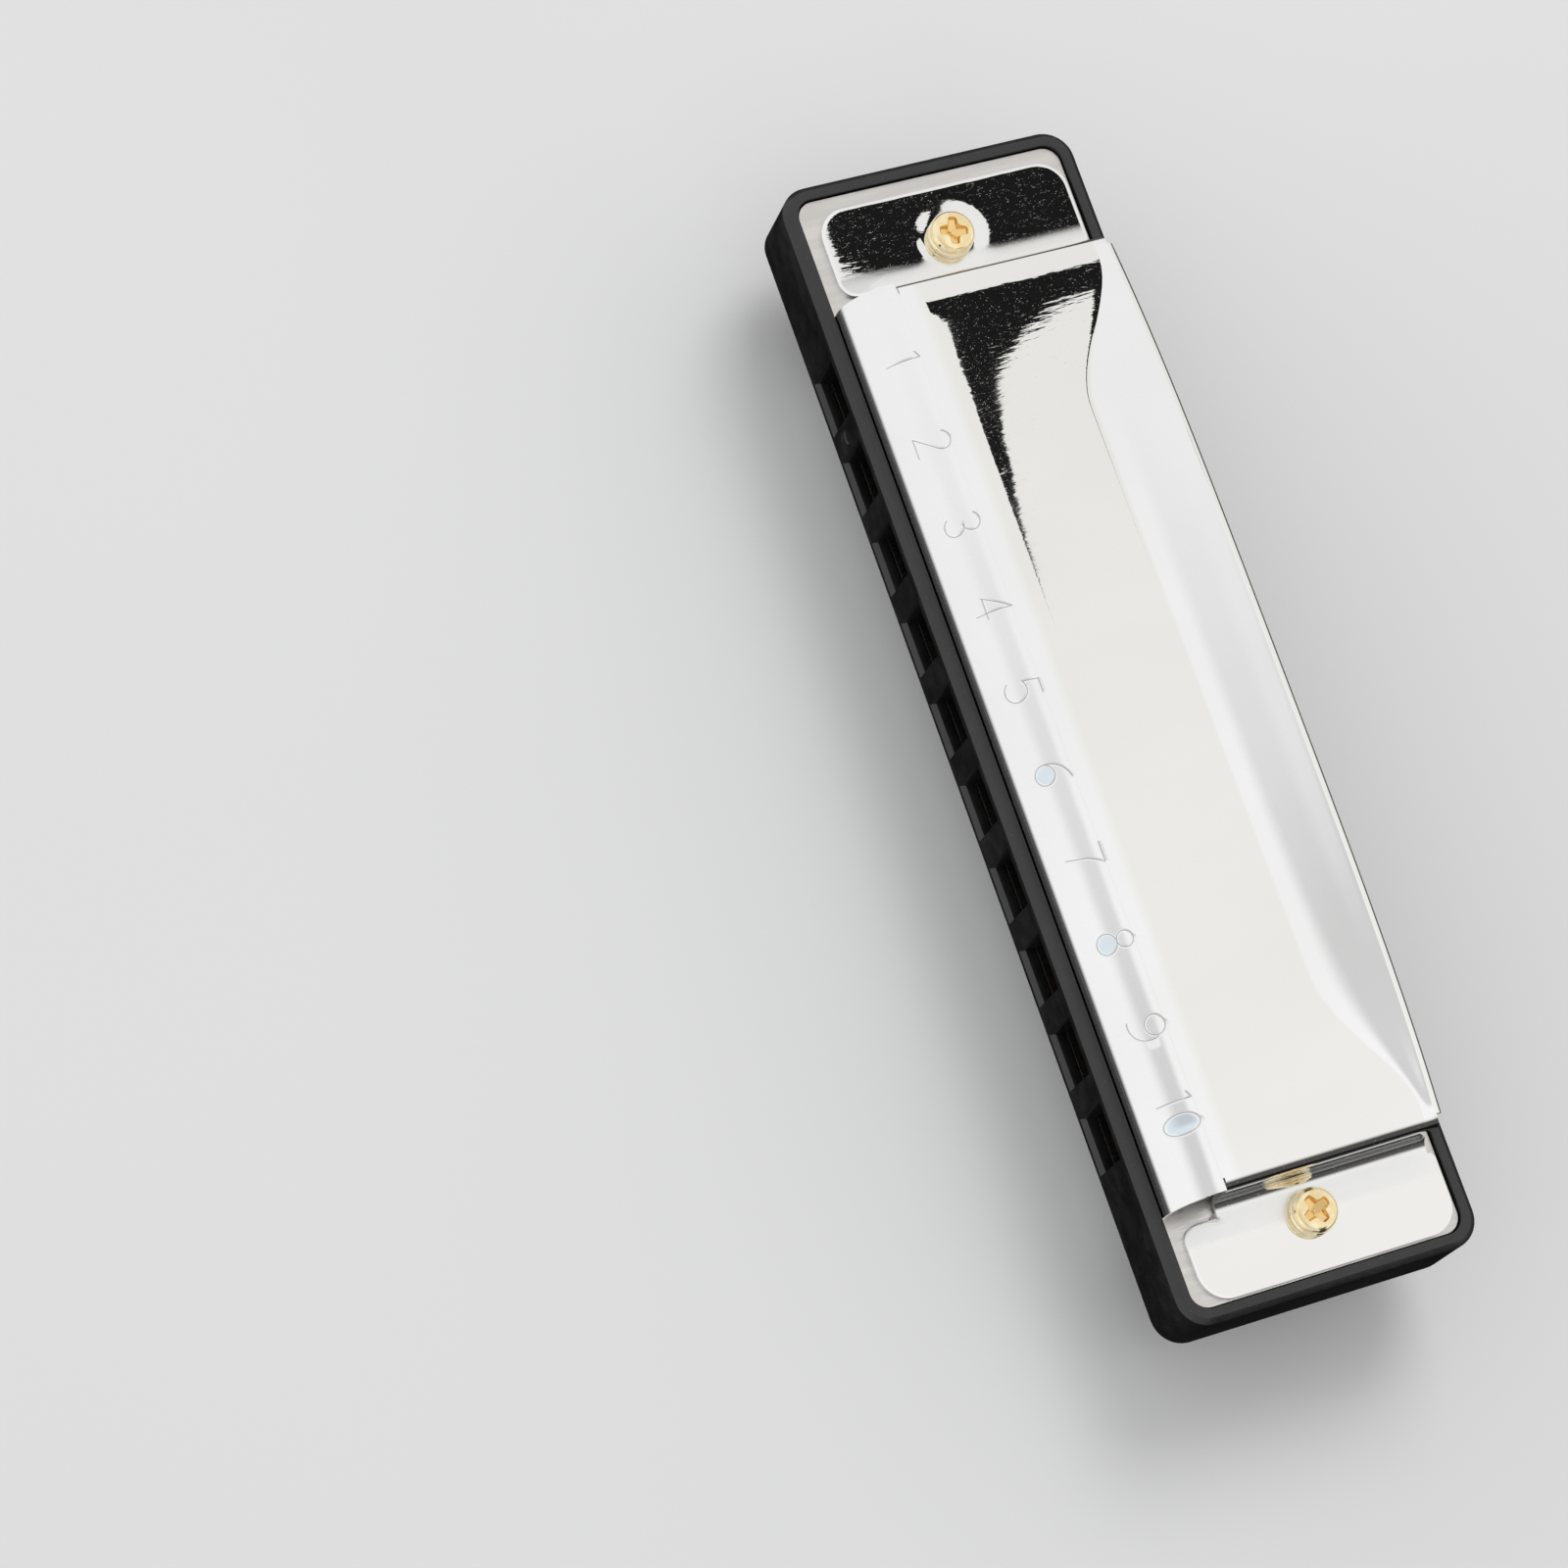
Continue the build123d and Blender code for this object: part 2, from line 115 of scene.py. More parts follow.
def grid_faces(rows, columns, start=0, closed=False):
    """Quads of a grid of points stored row by row; closed joins the last column to the first."""
    faces = []
    last = columns if closed else columns - 1
    for r in range(rows - 1):
        for c in range(last):
            n = (c + 1) % columns
            faces.append(
                (
                    start + r * columns + c,
                    start + r * columns + n,
                    start + (r + 1) * columns + n,
                    start + (r + 1) * columns + c,
                )
            )
    return faces


class Parts:
    """Collects grids of points into one mesh."""

    def __init__(self):
        self.points = []
        self.faces = []
        self.values = []

    def add_grid(self, grid, flip=False, closed=False, values=None):
        rows, columns = grid.shape[:2]
        start = len(self.points)
        self.points.extend(grid.reshape(-1, 3).tolist())
        if values is None:
            values = np.zeros((rows, columns))
        self.values.extend(np.asarray(values).reshape(-1).tolist())
        for f in grid_faces(rows, columns, start, closed):
            self.faces.append(f[::-1] if flip else f)

    def add_fan(self, centre, ring, flip=False):
        start = len(self.points)
        self.points.append(list(centre))
        self.points.extend([list(p) for p in ring])
        self.values.extend([0.0] * (len(ring) + 1))
        n = len(ring)
        for i in range(n):
            f = (start, start + 1 + i, start + 1 + (i + 1) % n)
            self.faces.append(f[::-1] if flip else f)

    def build(self, name, attribute=None, weld=1e-7):
        obj = mesh_object(name, self.points, self.faces)
        if attribute:
            layer = obj.data.attributes.new(attribute, "FLOAT", "POINT")
            layer.data.foreach_set("value", np.array(self.values, np.float32))
        bm = bmesh.new()
        bm.from_mesh(obj.data)
        bmesh.ops.remove_doubles(bm, verts=bm.verts, dist=weld)
        loose = [v for v in bm.verts if not v.link_faces]
        bmesh.ops.delete(bm, geom=loose, context="VERTS")
        bm.to_mesh(obj.data)
        bm.free()
        obj.data.shade_smooth()
        return obj


def face_outward(obj):
    """Turns the faces of a closed mesh outward."""
    bm = bmesh.new()
    bm.from_mesh(obj.data)
    bmesh.ops.recalc_face_normals(bm, faces=bm.faces)
    bm.to_mesh(obj.data)
    bm.free()


def apply_modifiers(obj):
    """Bakes the modifiers of an object made here into its mesh."""
    graph = bpy.context.evaluated_depsgraph_get()
    mesh = bpy.data.meshes.new_from_object(obj.evaluated_get(graph))
    old = obj.data
    obj.modifiers.clear()
    obj.data = mesh
    bpy.data.meshes.remove(old)


# ---------------------------------------------------------------- materials


def nodes_of(name):
    material = bpy.data.materials.new(name)
    material.use_nodes = True
    tree = material.node_tree
    shader = tree.nodes["Principled BSDF"]
    return material, tree, shader


def link(tree, a, b):
    tree.links.new(a, b)


def coordinates(tree, scale):
    """Object coordinates counted in millimetres, times a scale for each axis."""
    coord = tree.nodes.new("ShaderNodeTexCoord")
    mapping = tree.nodes.new("ShaderNodeMapping")
    mapping.inputs["Scale"].default_value = [s / MM for s in scale]
    link(tree, coord.outputs["Object"], mapping.inputs["Vector"])
    return mapping.outputs["Vector"]


def noise(tree, scale, detail=2.0, rough=0.5):
    node = tree.nodes.new("ShaderNodeTexNoise")
    node.inputs["Scale"].default_value = 1.0
    node.inputs["Detail"].default_value = detail
    node.inputs["Roughness"].default_value = rough
    link(tree, coordinates(tree, scale), node.inputs["Vector"])
    return node.outputs["Fac"]


def spread(tree, value, low, high, out_low=0.0, out_high=1.0):
    """Takes low to out_low and high to out_high, with a smooth step between."""
    node = tree.nodes.new("ShaderNodeMapRange")
    node.interpolation_type = "SMOOTHSTEP"
    link(tree, value, node.inputs["Value"])
    limits = (low, high, out_low, out_high)
    for key, number in zip(("From Min", "From Max", "To Min", "To Max"), limits):
        node.inputs[key].default_value = number
    return node.outputs["Result"]


def combine(tree, operation, a, b):
    """A Math node on two numbers or sockets."""
    node = tree.nodes.new("ShaderNodeMath")
    node.operation = operation
    for socket, value in zip(node.inputs, (a, b)):
        if isinstance(value, (int, float)):
            socket.default_value = value
        else:
            link(tree, value, socket)
    return node.outputs[0]


def position(tree):
    """X, Y and Z outputs in millimetres, in the model's own frame."""
    split = tree.nodes.new("ShaderNodeSeparateXYZ")
    link(tree, coordinates(tree, (1.0, 1.0, 1.0)), split.inputs[0])
    return split.outputs


def away_from(tree, value, place):
    """How far a value lies from a place, on either side."""
    return combine(tree, "ABSOLUTE", combine(tree, "SUBTRACT", value, place), 0.0)


def attribute(tree, name):
    node = tree.nodes.new("ShaderNodeAttribute")
    node.attribute_name = name
    return node.outputs["Fac"]


def mix_colour(tree, factor, a, b):
    node = tree.nodes.new("ShaderNodeMix")
    node.data_type = "RGBA"
    if isinstance(factor, (int, float)):
        node.inputs["Factor"].default_value = factor
    else:
        link(tree, factor, node.inputs["Factor"])
    for key, value in (("A", a), ("B", b)):
        socket = [s for s in node.inputs if s.name == key and s.type == "RGBA"][0]
        if isinstance(value, (tuple, list)):
            socket.default_value = (*value, 1.0)
        else:
            link(tree, value, socket)
    return [s for s in node.outputs if s.type == "RGBA"][0]


def bump(tree, shader, height, distance, before=None):
    node = tree.nodes.new("ShaderNodeBump")
    node.inputs["Strength"].default_value = 1.0
    node.inputs["Distance"].default_value = distance * MM
    link(tree, height, node.inputs["Height"])
    if before is not None:
        link(tree, before, node.inputs["Normal"])
    link(tree, node.outputs["Normal"], shader.inputs["Normal"])
    return node.outputs["Normal"]


SPECK_PATCH_SCALE = 0.31


def specks(tree, scale, size, cover):
    """Small round or stretched spots: 1 inside a spot, 0 outside."""
    scale = scale if isinstance(scale, tuple) else (scale,) * 3
    node = tree.nodes.new("ShaderNodeTexVoronoi")
    node.inputs["Scale"].default_value = 1.0
    link(tree, coordinates(tree, scale), node.inputs["Vector"])
    spot = spread(tree, node.outputs["Distance"], size * 0.6, size, 1.0, 0.0)
    patch = noise(tree, [v * SPECK_PATCH_SCALE for v in scale], 3.0)
    patch = spread(tree, patch, 0.5 - cover, 0.55 - cover)
    return combine(tree, "MULTIPLY", spot, patch)


CHROME_TONES = ((0.835, 0.832, 0.82), (0.86, 0.858, 0.848))
# Painted reflection: a bluish tint for the dished bowls of 6, 8 and 0
BOWL_PAINTED_REFLECTION = (0.70, 0.785, 0.83)
# Painted shade: grey in the stamped grooves, for the shade in them and in part their burr
GROOVE_PAINTED_SHADE = (0.42, 0.43, 0.44)
CHROME_DUST = (0.55, 0.55, 0.54)
MIRROR_ROUGHNESS = (0.007, 0.014)
NOSE_ROUGHNESS = 0.085
# X of the middle of the rougher strip by each bend, its half width and its roughness
BEND_POLISH = ((FLANGE_X[-1][1], 2.2, 0.15), (FLANGE_X[1][0] + 0.7, 1.9, 0.36))
BRUSH_HEIGHT = 0.0006
WAVE_HEIGHT = 0.00018


def chrome():
    """Polished plate, brushed along Y, with hairlines, dust, painted groove shade and painted bowl
    reflection.
    """
    material, tree, shader = nodes_of("cover_chrome_polished")
    shader.inputs["Metallic"].default_value = 1.0
    tone = spread(tree, noise(tree, (0.05, 0.02, 0.05), 3.0), 0.35, 0.65)
    base = mix_colour(tree, tone, *CHROME_TONES)
    stamp = attribute(tree, "stamp")
    # Painted shade: the stamped grooves are tinted darker grey
    line = spread(tree, stamp, 0.25, 0.95)
    # Painted reflection: the dished bowls are tinted bluish
    bowl = spread(tree, stamp, -0.15, -0.9)
    base = mix_colour(tree, bowl, base, BOWL_PAINTED_REFLECTION)
    base = mix_colour(tree, line, base, GROOVE_PAINTED_SHADE)
    dust = specks(tree, (6.0, 2.0, 3.4), 0.12, -0.027)
    fine_dust = specks(tree, (15.0, 6.0, 9.0), 0.2, -0.038)
    dust = combine(tree, "MAXIMUM", dust, fine_dust)
    base = mix_colour(tree, combine(tree, "MULTIPLY", dust, 0.12), base, CHROME_DUST)
    link(tree, base, shader.inputs["Base Color"])

    smears = spread(tree, noise(tree, (0.12, 0.12, 0.12), 4.0, 0.6), 0.4, 0.75, *MIRROR_ROUGHNESS)
    hairlines = spread(tree, noise(tree, (12.0, 0.7, 0.7), 3.0), 0.66, 0.80, 0.0, 0.12)
    rough = combine(tree, "ADD", smears, combine(tree, "MULTIPLY", dust, 0.45))
    rough = combine(tree, "ADD", rough, hairlines)
    x, y, _ = position(tree)
    nose = spread(tree, y, TOP_FRONT_Y + 0.3, TOP_FRONT_Y - 1.2, 0.0, NOSE_ROUGHNESS)
    along = away_from(tree, x, COVER_OFFSET)
    on_cover = spread(tree, along, COVER_HALF - 0.2, COVER_HALF + 0.1, 1.0, 0.0)
    rough = combine(tree, "ADD", rough, combine(tree, "MULTIPLY", nose, on_cover))
    for bend_x, reach, most in BEND_POLISH:
        near_bend = spread(tree, away_from(tree, x, bend_x), 0.7, reach, most, 0.0)
        rough = combine(tree, "ADD", rough, near_bend)
    link(tree, rough, shader.inputs["Roughness"])

    brushing = bump(tree, shader, noise(tree, (3.0, 0.5, 0.5), 2.0, 0.5), BRUSH_HEIGHT)
    bump(tree, shader, noise(tree, (0.35, 0.22, 0.35), 2.0), WAVE_HEIGHT, brushing)
    return material


# Painted shade: near black for the plate faces inside the comb's chambers
CHAMBER_PAINTED_SHADE = (0.05, 0.044, 0.038)


def satin_metal(name, light, dark, rough, grain, slope, chamber_shade=None):
    """Rolled or drawn metal with a fine grain; painted shade darkens what faces the comb's chambers."""
    material, tree, shader = nodes_of(name)
    shader.inputs["Metallic"].default_value = 1.0
    tone = noise(tree, [g * 0.2 for g in grain], 4.0, 0.6)
    colour = mix_colour(tree, spread(tree, tone, 0.3, 0.7), dark, light)
    if chamber_shade:
        # Painted shade: the faces towards the chambers are darkened almost to black
        height = away_from(tree, position(tree)["Z"], MIDDLE_Z)
        inner = spread(tree, height, CORE_HALF + 0.02, CORE_HALF + 0.12, 0.9, 0.0)
        colour = mix_colour(tree, inner, colour, chamber_shade)
    link(tree, colour, shader.inputs["Base Color"])
    spots = specks(tree, 2.6, 0.14, 0.06)
    polish = noise(tree, grain, 3.0, 0.6)
    polish = spread(tree, polish, 0.3, 0.7, rough * 0.75, rough * 1.25)
    polish = combine(tree, "ADD", polish, combine(tree, "MULTIPLY", spots, 0.15))
    link(tree, polish, shader.inputs["Roughness"])
    bump(tree, shader, noise(tree, grain, 4.0, 0.7), slope)
    return material


GOLD_TONES = ((0.88, 0.71, 0.40), (0.93, 0.81, 0.55))
# Painted shade: a deeper, more orange gold inside the cross recess
RECESS_PAINTED_SHADE_GOLD = (0.86, 0.60, 0.26)


def polished_gold():
    """Gold-coloured plating, with painted shade giving a deeper, more orange tone inside the cross recess."""
    material, tree, shader = nodes_of("screw_gold_polished")
    shader.inputs["Metallic"].default_value = 1.0
    tone = spread(tree, noise(tree, (1.6, 1.6, 1.6), 3.0), 0.35, 0.65)
    base = mix_colour(tree, tone, *GOLD_TONES)
    # Painted shade: the cross recess is tinted a deeper gold
    recess = spread(tree, attribute(tree, "stamp"), 0.1, 0.9)
    link(tree, mix_colour(tree, recess, base, RECESS_PAINTED_SHADE_GOLD), shader.inputs["Base Color"])
    rough = spread(tree, noise(tree, (2.5, 2.5, 2.5), 3.0), 0.35, 0.7, 0.07, 0.19)
    link(tree, rough, shader.inputs["Roughness"])
    bump(tree, shader, noise(tree, (5.0, 5.0, 5.0), 3.0), 0.003)
    return material


PLASTIC_TONES = ((0.005, 0.005, 0.0056), (0.009, 0.009, 0.0098))
PLASTIC_DUST = (0.16, 0.16, 0.16)


def black_plastic():
    """Moulded plastic with a faint cloud, dust, a fine texture and slow waves."""
    material, tree, shader = nodes_of("comb_black_plastic")
    cloud = spread(tree, noise(tree, (0.09, 0.09, 0.09), 4.0), 0.3, 0.7)
    base = mix_colour(tree, cloud, *PLASTIC_TONES)
    dust = combine(tree, "MULTIPLY", specks(tree, 2.2, 0.12, 0.05), 0.35)
    link(tree, mix_colour(tree, dust, base, PLASTIC_DUST), shader.inputs["Base Color"])
    shader.inputs["Specular IOR Level"].default_value = 0.62
    rough = spread(tree, noise(tree, (0.7, 0.7, 0.7), 4.0), 0.3, 0.7, 0.30, 0.42)
    link(tree, rough, shader.inputs["Roughness"])
    texture = bump(tree, shader, noise(tree, (6.0, 6.0, 6.0), 3.0), 0.0035)
    bump(tree, shader, noise(tree, (0.25, 0.25, 0.25), 2.0), 0.02, texture)
    return material


# Material slot: name, light and dark tones, roughness, grain scale, bump height and any painted chamber shade
SATIN_METALS = {
    "reed_brass": (
        "reed_filed_brass", (0.86, 0.66, 0.34), (0.74, 0.53, 0.24), 0.27, (7.0, 0.4, 0.6), 0.0018
    ),
    "rivet_brass": (
        "rivet_pressed_brass", (0.84, 0.65, 0.33), (0.72, 0.52, 0.24), 0.24, (2.2, 2.2, 2.2), 0.003
    ),
    "plate_screw_steel": (
        "plate_screw_zinc", (0.66, 0.665, 0.67), (0.52, 0.525, 0.53), 0.3, (3.0, 3.0, 3.0), 0.002
    ),
    "plate_metal": (
        "plate_satin_metal",
        (0.70, 0.68, 0.655),
        (0.62, 0.60, 0.575),
        0.34,
        (5.0, 0.5, 0.5),
        0.0012,
        CHAMBER_PAINTED_SHADE,
    ),
}
MATERIALS = {slot: satin_metal(*look) for slot, look in SATIN_METALS.items()}
MATERIALS["comb_plastic"] = black_plastic()
MATERIALS["cover_chrome"] = chrome()
MATERIALS["screw_brass"] = polished_gold()


def finish_piece(obj, slot, body="harmonica", cad_nodes=()):
    obj.data.materials.clear()
    obj.data.materials.append(MATERIALS[slot])
    if body:
        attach(obj, body)
    for node in cad_nodes:
        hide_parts(node)


# ---------------------------------------------------------------- digits stamped in the nose


def arc(centre, radius, start, end, steps=14, tall=1.0):
    angles = np.radians(np.linspace(start, end, steps))
    return [(centre[0] + radius * cos(a), centre[1] + radius * tall * sin(a)) for a in angles]


def digit_strokes():
    """Each digit as lines of points, about 3.2 mm tall, centred on its own middle."""
    return {
        "1": [[(0.0, -1.55), (0.0, 1.5), (-0.55, 1.2)]],
        "2": [arc((0.0, 0.78), 0.8, 165, -35, 16) + [(-0.85, -1.55), (0.9, -1.55)]],
        "3": [arc((-0.05, 0.78), 0.78, 150, -80, 16), arc((0.0, -0.72), 0.86, 95, -150, 18)],
        "4": [[(0.42, -1.6), (0.42, 1.6), (-0.9, -0.65), (0.95, -0.65)]],
        "5": [[(0.72, 1.55), (-0.5, 1.55), (-0.62, 0.2)] + arc((-0.02, -0.6), 0.98, 128, -145, 18)],
        "6": [arc((0.0, -0.72), 0.86, 0, 360, 26), arc((1.25, -0.6), 2.1, 104, 176, 12)],
        "7": [[(-0.85, 1.55), (0.85, 1.55), (0.25, 0.3), (-0.2, -1.6)]],
        "8": [arc((0.0, 0.86), 0.7, 0, 360, 22), arc((0.0, -0.72), 0.87, 0, 360, 26)],
        "9": [arc((0.0, 0.72), 0.86, 0, 360, 26), arc((-0.45, 0.1), 1.55, 22, -105, 14, 1.05)],
        "0": [arc((0.0, 0.0), 0.86, 0, 360, 30, 1.85)],
    }


STROKES = digit_strokes()
DOMES = {"6": ((0.0, -0.72), 0.8, 1.0), "8": ((0.0, -0.72), 0.8, 1.0), "0": ((0.0, 0.0), 0.8, 1.85)}
DIGIT_X_SHIFT = 1.15
DIGIT_ARC = 4.95
GROOVE_WIDTH = 0.1
GROOVE_DEPTH = 0.05
DOME_DEPTH = 0.07


def placed_digits():
    """(digit, x, arc position) of each stamped figure; hole 10 takes two."""
    placed = [(str(h), hole_x(h) + DIGIT_X_SHIFT, DIGIT_ARC) for h in range(1, 10)]
    placed.append(("1", hole_x(10) + 0.15, DIGIT_ARC))
    placed.append(("0", hole_x(10) + 2.05, DIGIT_ARC))
    return placed


def segment_distance(u, v, a, b):
    ax, ay = a
    dx, dy = b[0] - ax, b[1] - ay
    t = np.clip(((u - ax) * dx + (v - ay) * dy) / (dx * dx + dy * dy + 1e-12), 0, 1)
    return np.hypot(u - ax - t * dx, v - ay - t * dy)


def stamp_fields(x, s):
    """Depth of the stamping and its kind (above 0 in a line, below 0 in a dished bowl)."""
    depth = np.zeros_like(x)
    kind = np.zeros_like(x)
    for digit, centre_x, centre_s in placed_digits():
        near = (np.abs(x - centre_x) < 1.6) & (np.abs(s - centre_s) < 2.1)
        if not near.any():
            continue
        u = (x - centre_x)[near]
        v = (s - centre_s)[near]
        distance = np.full(u.shape, 9.0)
        for stroke in STROKES[digit]:
            for a, b in zip(stroke[:-1], stroke[1:]):
                distance = np.minimum(distance, segment_distance(u, v, a, b))
        line = 1 - smooth(distance / GROOVE_WIDTH)
        here = GROOVE_DEPTH * line
        mark = line.copy()
        if digit in DOMES:
            (cx, cy), radius, tall = DOMES[digit]
            inside = np.hypot(u - cx, (v - cy) / tall) / radius
            bowl = np.clip(1 - inside**2, 0, 1)
            here = here + DOME_DEPTH * bowl
            mark = np.where(line > 0.05, mark, -np.clip(bowl * 2.5, 0, 1))
        depth[near] = np.maximum(depth[near], here)
        kind[near] = mark
    return depth, kind


# ---------------------------------------------------------------- covers


def flare_rise(x):
    return FLARE_RISE * (1 - (min(abs(x), TOP_HALF) / TOP_HALF) ** FLARE_POWER)


def flare_depth(x):
    straight = TOP_HALF * FLARE_STRAIGHT
    t = max(0.0, min(abs(x), TOP_HALF) - straight) / (TOP_HALF - straight)
    return FLARE_END_DEPTH + (FLARE_DEPTH - FLARE_END_DEPTH) * (1 + cos(pi * t)) / 2


FRONT_CROWN_START = -5.6
FRONT_CROWN_DROP = 0.06
END_CROWN_WIDTH = 2.9
END_CROWN_DROP = 0.045
EASE_LENGTH = 2.6
EASE_AHEAD = 1.1
EASE_POWER = 2.1
LIP_TURN = 80.0


def crown_drop(x, y):
    """How far the nearly flat top falls towards its front edge and its ends."""
    front = np.clip((FRONT_CROWN_START - y) / (FRONT_CROWN_START - TOP_FRONT_Y), 0, 1) ** 2
    end = np.clip((np.abs(x) - (TOP_HALF - END_CROWN_WIDTH)) / END_CROWN_WIDTH, 0, 1) ** 2
    return FRONT_CROWN_DROP * front + END_CROWN_DROP * end


def top_profile(x, flat_rows, ease_rows, lip_rows):
    """(y, z) points from the nose to the rolled lip at one place along the cover."""
    rise = flare_rise(x)
    depth = flare_depth(x)
    crease = CREST_Y - depth
    up = rise - LIP
    slope = atan2(up, depth) + asin(LIP / (depth**2 + up**2) ** 0.5)
    centre_z = COVER_TOP + rise - LIP
    lip_start = (CREST_Y - LIP * sin(slope), centre_z + LIP * cos(slope))
    run = lip_start[0] - crease
    ease = min(EASE_LENGTH, 0.7 * run) if run > 0.5 else 0.3 * run
    # The flare leaves the flat gently ahead of the crease and steepens up to the straight part
    steps = np.linspace(0, 1, ease_rows)
    ahead = EASE_AHEAD * ease
    y_ease = crease - ahead + steps * (ahead + ease)
    end_slope = (lip_start[1] - COVER_TOP) / max(run, 1e-6)
    z_ease = COVER_TOP + end_slope * ease * steps**EASE_POWER
    flat_y = TOP_FRONT_Y + (crease - ahead - TOP_FRONT_Y) * np.linspace(0, 1, flat_rows) ** 1.15
    points = [(y, COVER_TOP) for y in flat_y]
    points += list(zip(y_ease[1:], z_ease[1:]))
    straight = np.linspace(0, 1, 6)[1:]
    y_end = crease + ease
    for t in straight:
        span_y = y_end + t * (lip_start[0] - y_end)
        span_z = z_ease[-1] + t * (lip_start[1] - z_ease[-1])
        points.append((span_y, span_z))
    for angle in np.linspace(-slope, radians(LIP_TURN), lip_rows)[1:]:
        points.append((CREST_Y + LIP * sin(angle), centre_z + LIP * cos(angle)))
    return points


PLAIN_COLUMNS = 120


def raised_columns(dense):
    """x places along the cover, close together over the digits."""
    if not dense:
        return np.round(np.linspace(-TOP_HALF, TOP_HALF, PLAIN_COLUMNS), 4)
    marks = [-TOP_HALF]
    spans = [(x - COVER_OFFSET - 1.15, x - COVER_OFFSET + 1.15) for _, x, _ in placed_digits()]
    spans.sort()
    for low, high in spans:
        low = max(low, marks[-1] + 0.01)
        gap = low - marks[-1]
        if gap > 0.3:
            count = max(2, int(gap / 0.8))
            marks += list(np.linspace(marks[-1], low, count + 1)[1:])
        count = max(2, int((high - low) / 0.06))
        marks += list(np.linspace(marks[-1], high, count + 1)[1:])
    gap = TOP_HALF - marks[-1]
    marks += list(np.linspace(marks[-1], TOP_HALF, max(2, int(gap / 0.5)) + 1)[1:])
    return np.array(marks)


def bend_lift(out, side):
    """Rise of the flange towards the bend, by distance out from the bend's end."""
    return BEND_LIFT[side] * np.clip(1 - out / BEND_LIFT_WIDTH[side], 0, 1) ** 2


def end_profile(side, steps=10):
    """(distance beyond the flat's end, z) down the shoulder, the wall and the bend."""
    points = []
    for a in np.linspace(0, pi / 2, steps):
        points.append((SHOULDER * sin(a), COVER_TOP - SHOULDER + SHOULDER * cos(a)))
    wall_top = COVER_TOP - SHOULDER
    lean = 2 * BEND_LIFT[side] / BEND_LIFT_WIDTH[side]
    wall_foot = FLANGE_TOP + BEND_LIFT[side] + BEND * cos(lean)
    for t in (0.33, 0.67):
        points.append((SHOULDER, wall_top + t * (wall_foot - wall_top)))
    for a in np.linspace(0, pi / 2 - lean, steps):
        points.append((SHOULDER + BEND * (1 - cos(a)), wall_foot - BEND * sin(a)))
    for out in np.linspace(0, BEND_STRIP, 4):
        points.append((SHOULDER + BEND + out, FLANGE_TOP + float(bend_lift(out, side))))
    return points


def raised_part(parts, stamped):
    """Nose, flat, flare and lip, with the shoulders and walls at both ends."""
    columns = raised_columns(stamped)
    flat_rows, ease_rows, lip_rows = 26, 14, 9
    arc_rows = 112 if stamped else 26
    centre_z = COVER_TOP - NOSE_RADIUS
    angles = np.linspace(0, pi / 2, arc_rows)
    nose_columns = np.concatenate([[-COVER_HALF, -COVER_HALF + 0.5], columns, [COVER_HALF - 0.5, COVER_HALF]])
    # Nose: foot and quarter arc, with the digits pressed in
    x, angle = np.meshgrid(nose_columns, angles)
    depth, kind = np.zeros_like(x), np.zeros_like(x)
    if stamped:
        depth, kind = stamp_fields(x + COVER_OFFSET, angle * NOSE_RADIUS)
    radius = NOSE_RADIUS - depth
    drop = crown_drop(x, np.full_like(x, TOP_FRONT_Y)) * smooth((angle - 0.6) / (pi / 2 - 0.6))
    nose = np.stack(
        [x + COVER_OFFSET, TOP_FRONT_Y - radius * np.cos(angle), centre_z + radius * np.sin(angle) - drop], -1
    )
    foot = np.stack([nose[0].copy() for _ in range(3)])
    for i, z in enumerate(np.linspace(PLATE_TOP, centre_z, 4)[:3]):
        foot[i, :, 2] = z
    parts.add_grid(
        np.concatenate([foot, nose]), values=np.concatenate([np.zeros((3, len(nose_columns))), kind])
    )
    # Flat, flare and lip
    profiles = [top_profile(v, flat_rows, ease_rows, lip_rows) for v in columns]
    rows = len(profiles[0])
    top = np.zeros((rows, len(columns), 3))
    for c, profile in enumerate(profiles):
        for r, (y, z) in enumerate(profile):
            top[r, c] = (columns[c] + COVER_OFFSET, y, z)
    flat_zone = np.arange(rows) < flat_rows
    lowered = crown_drop(top[:, :, 0] - COVER_OFFSET, top[:, :, 1])
    fade = np.where(flat_zone[:, None], 1.0, 0.0)
    for r in range(rows):
        if not flat_zone[r]:
            fade[r, :] = max(0.0, 1 - (r - flat_rows + 1) / 12.0)
    top[:, :, 2] -= lowered * fade
    # The stamping reaches a little way on to the flat
    if stamped:
        arc_here = NOSE_RADIUS * pi / 2 + (top[:, :, 1] - TOP_FRONT_Y)
        depth, kind = stamp_fields(top[:, :, 0], arc_here)
        top[:, :, 2] -= depth
        parts.add_grid(top, values=kind)
    else:
        parts.add_grid(top)
    # Shoulder, wall and bend at each end
    for side, column in ((-1, 0), (1, len(columns) - 1)):
        ends = end_profile(side)
        edge = top[:, column]
        start = TOP_FRONT_Y + NOSE_SLIT
        use = [p for p in edge if p[1] > start + 0.05 and p[1] <= CREST_Y + 1e-6]
        first = [edge[0][0], start, edge[0][2]]
        for p, q in zip(edge[:-1], edge[1:]):
            if p[1] <= start <= q[1]:
                t = (start - p[1]) / (q[1] - p[1])
                first[2] = p[2] + t * (q[2] - p[2])
        line = [first] + [list(p) for p in use]
        strip = np.zeros((len(line), len(ends), 3))
        for r, p in enumerate(line):
            lift = p[2] - COVER_TOP
            for c, (out, z) in enumerate(ends):
                share = max(0.0, (z - FLANGE_TOP - BEND) / (COVER_TOP - FLANGE_TOP - BEND))
                strip[r, c] = (COVER_OFFSET + side * (TOP_HALF + out), p[1], z + lift * share)
        parts.add_grid(strip, flip=side < 0)


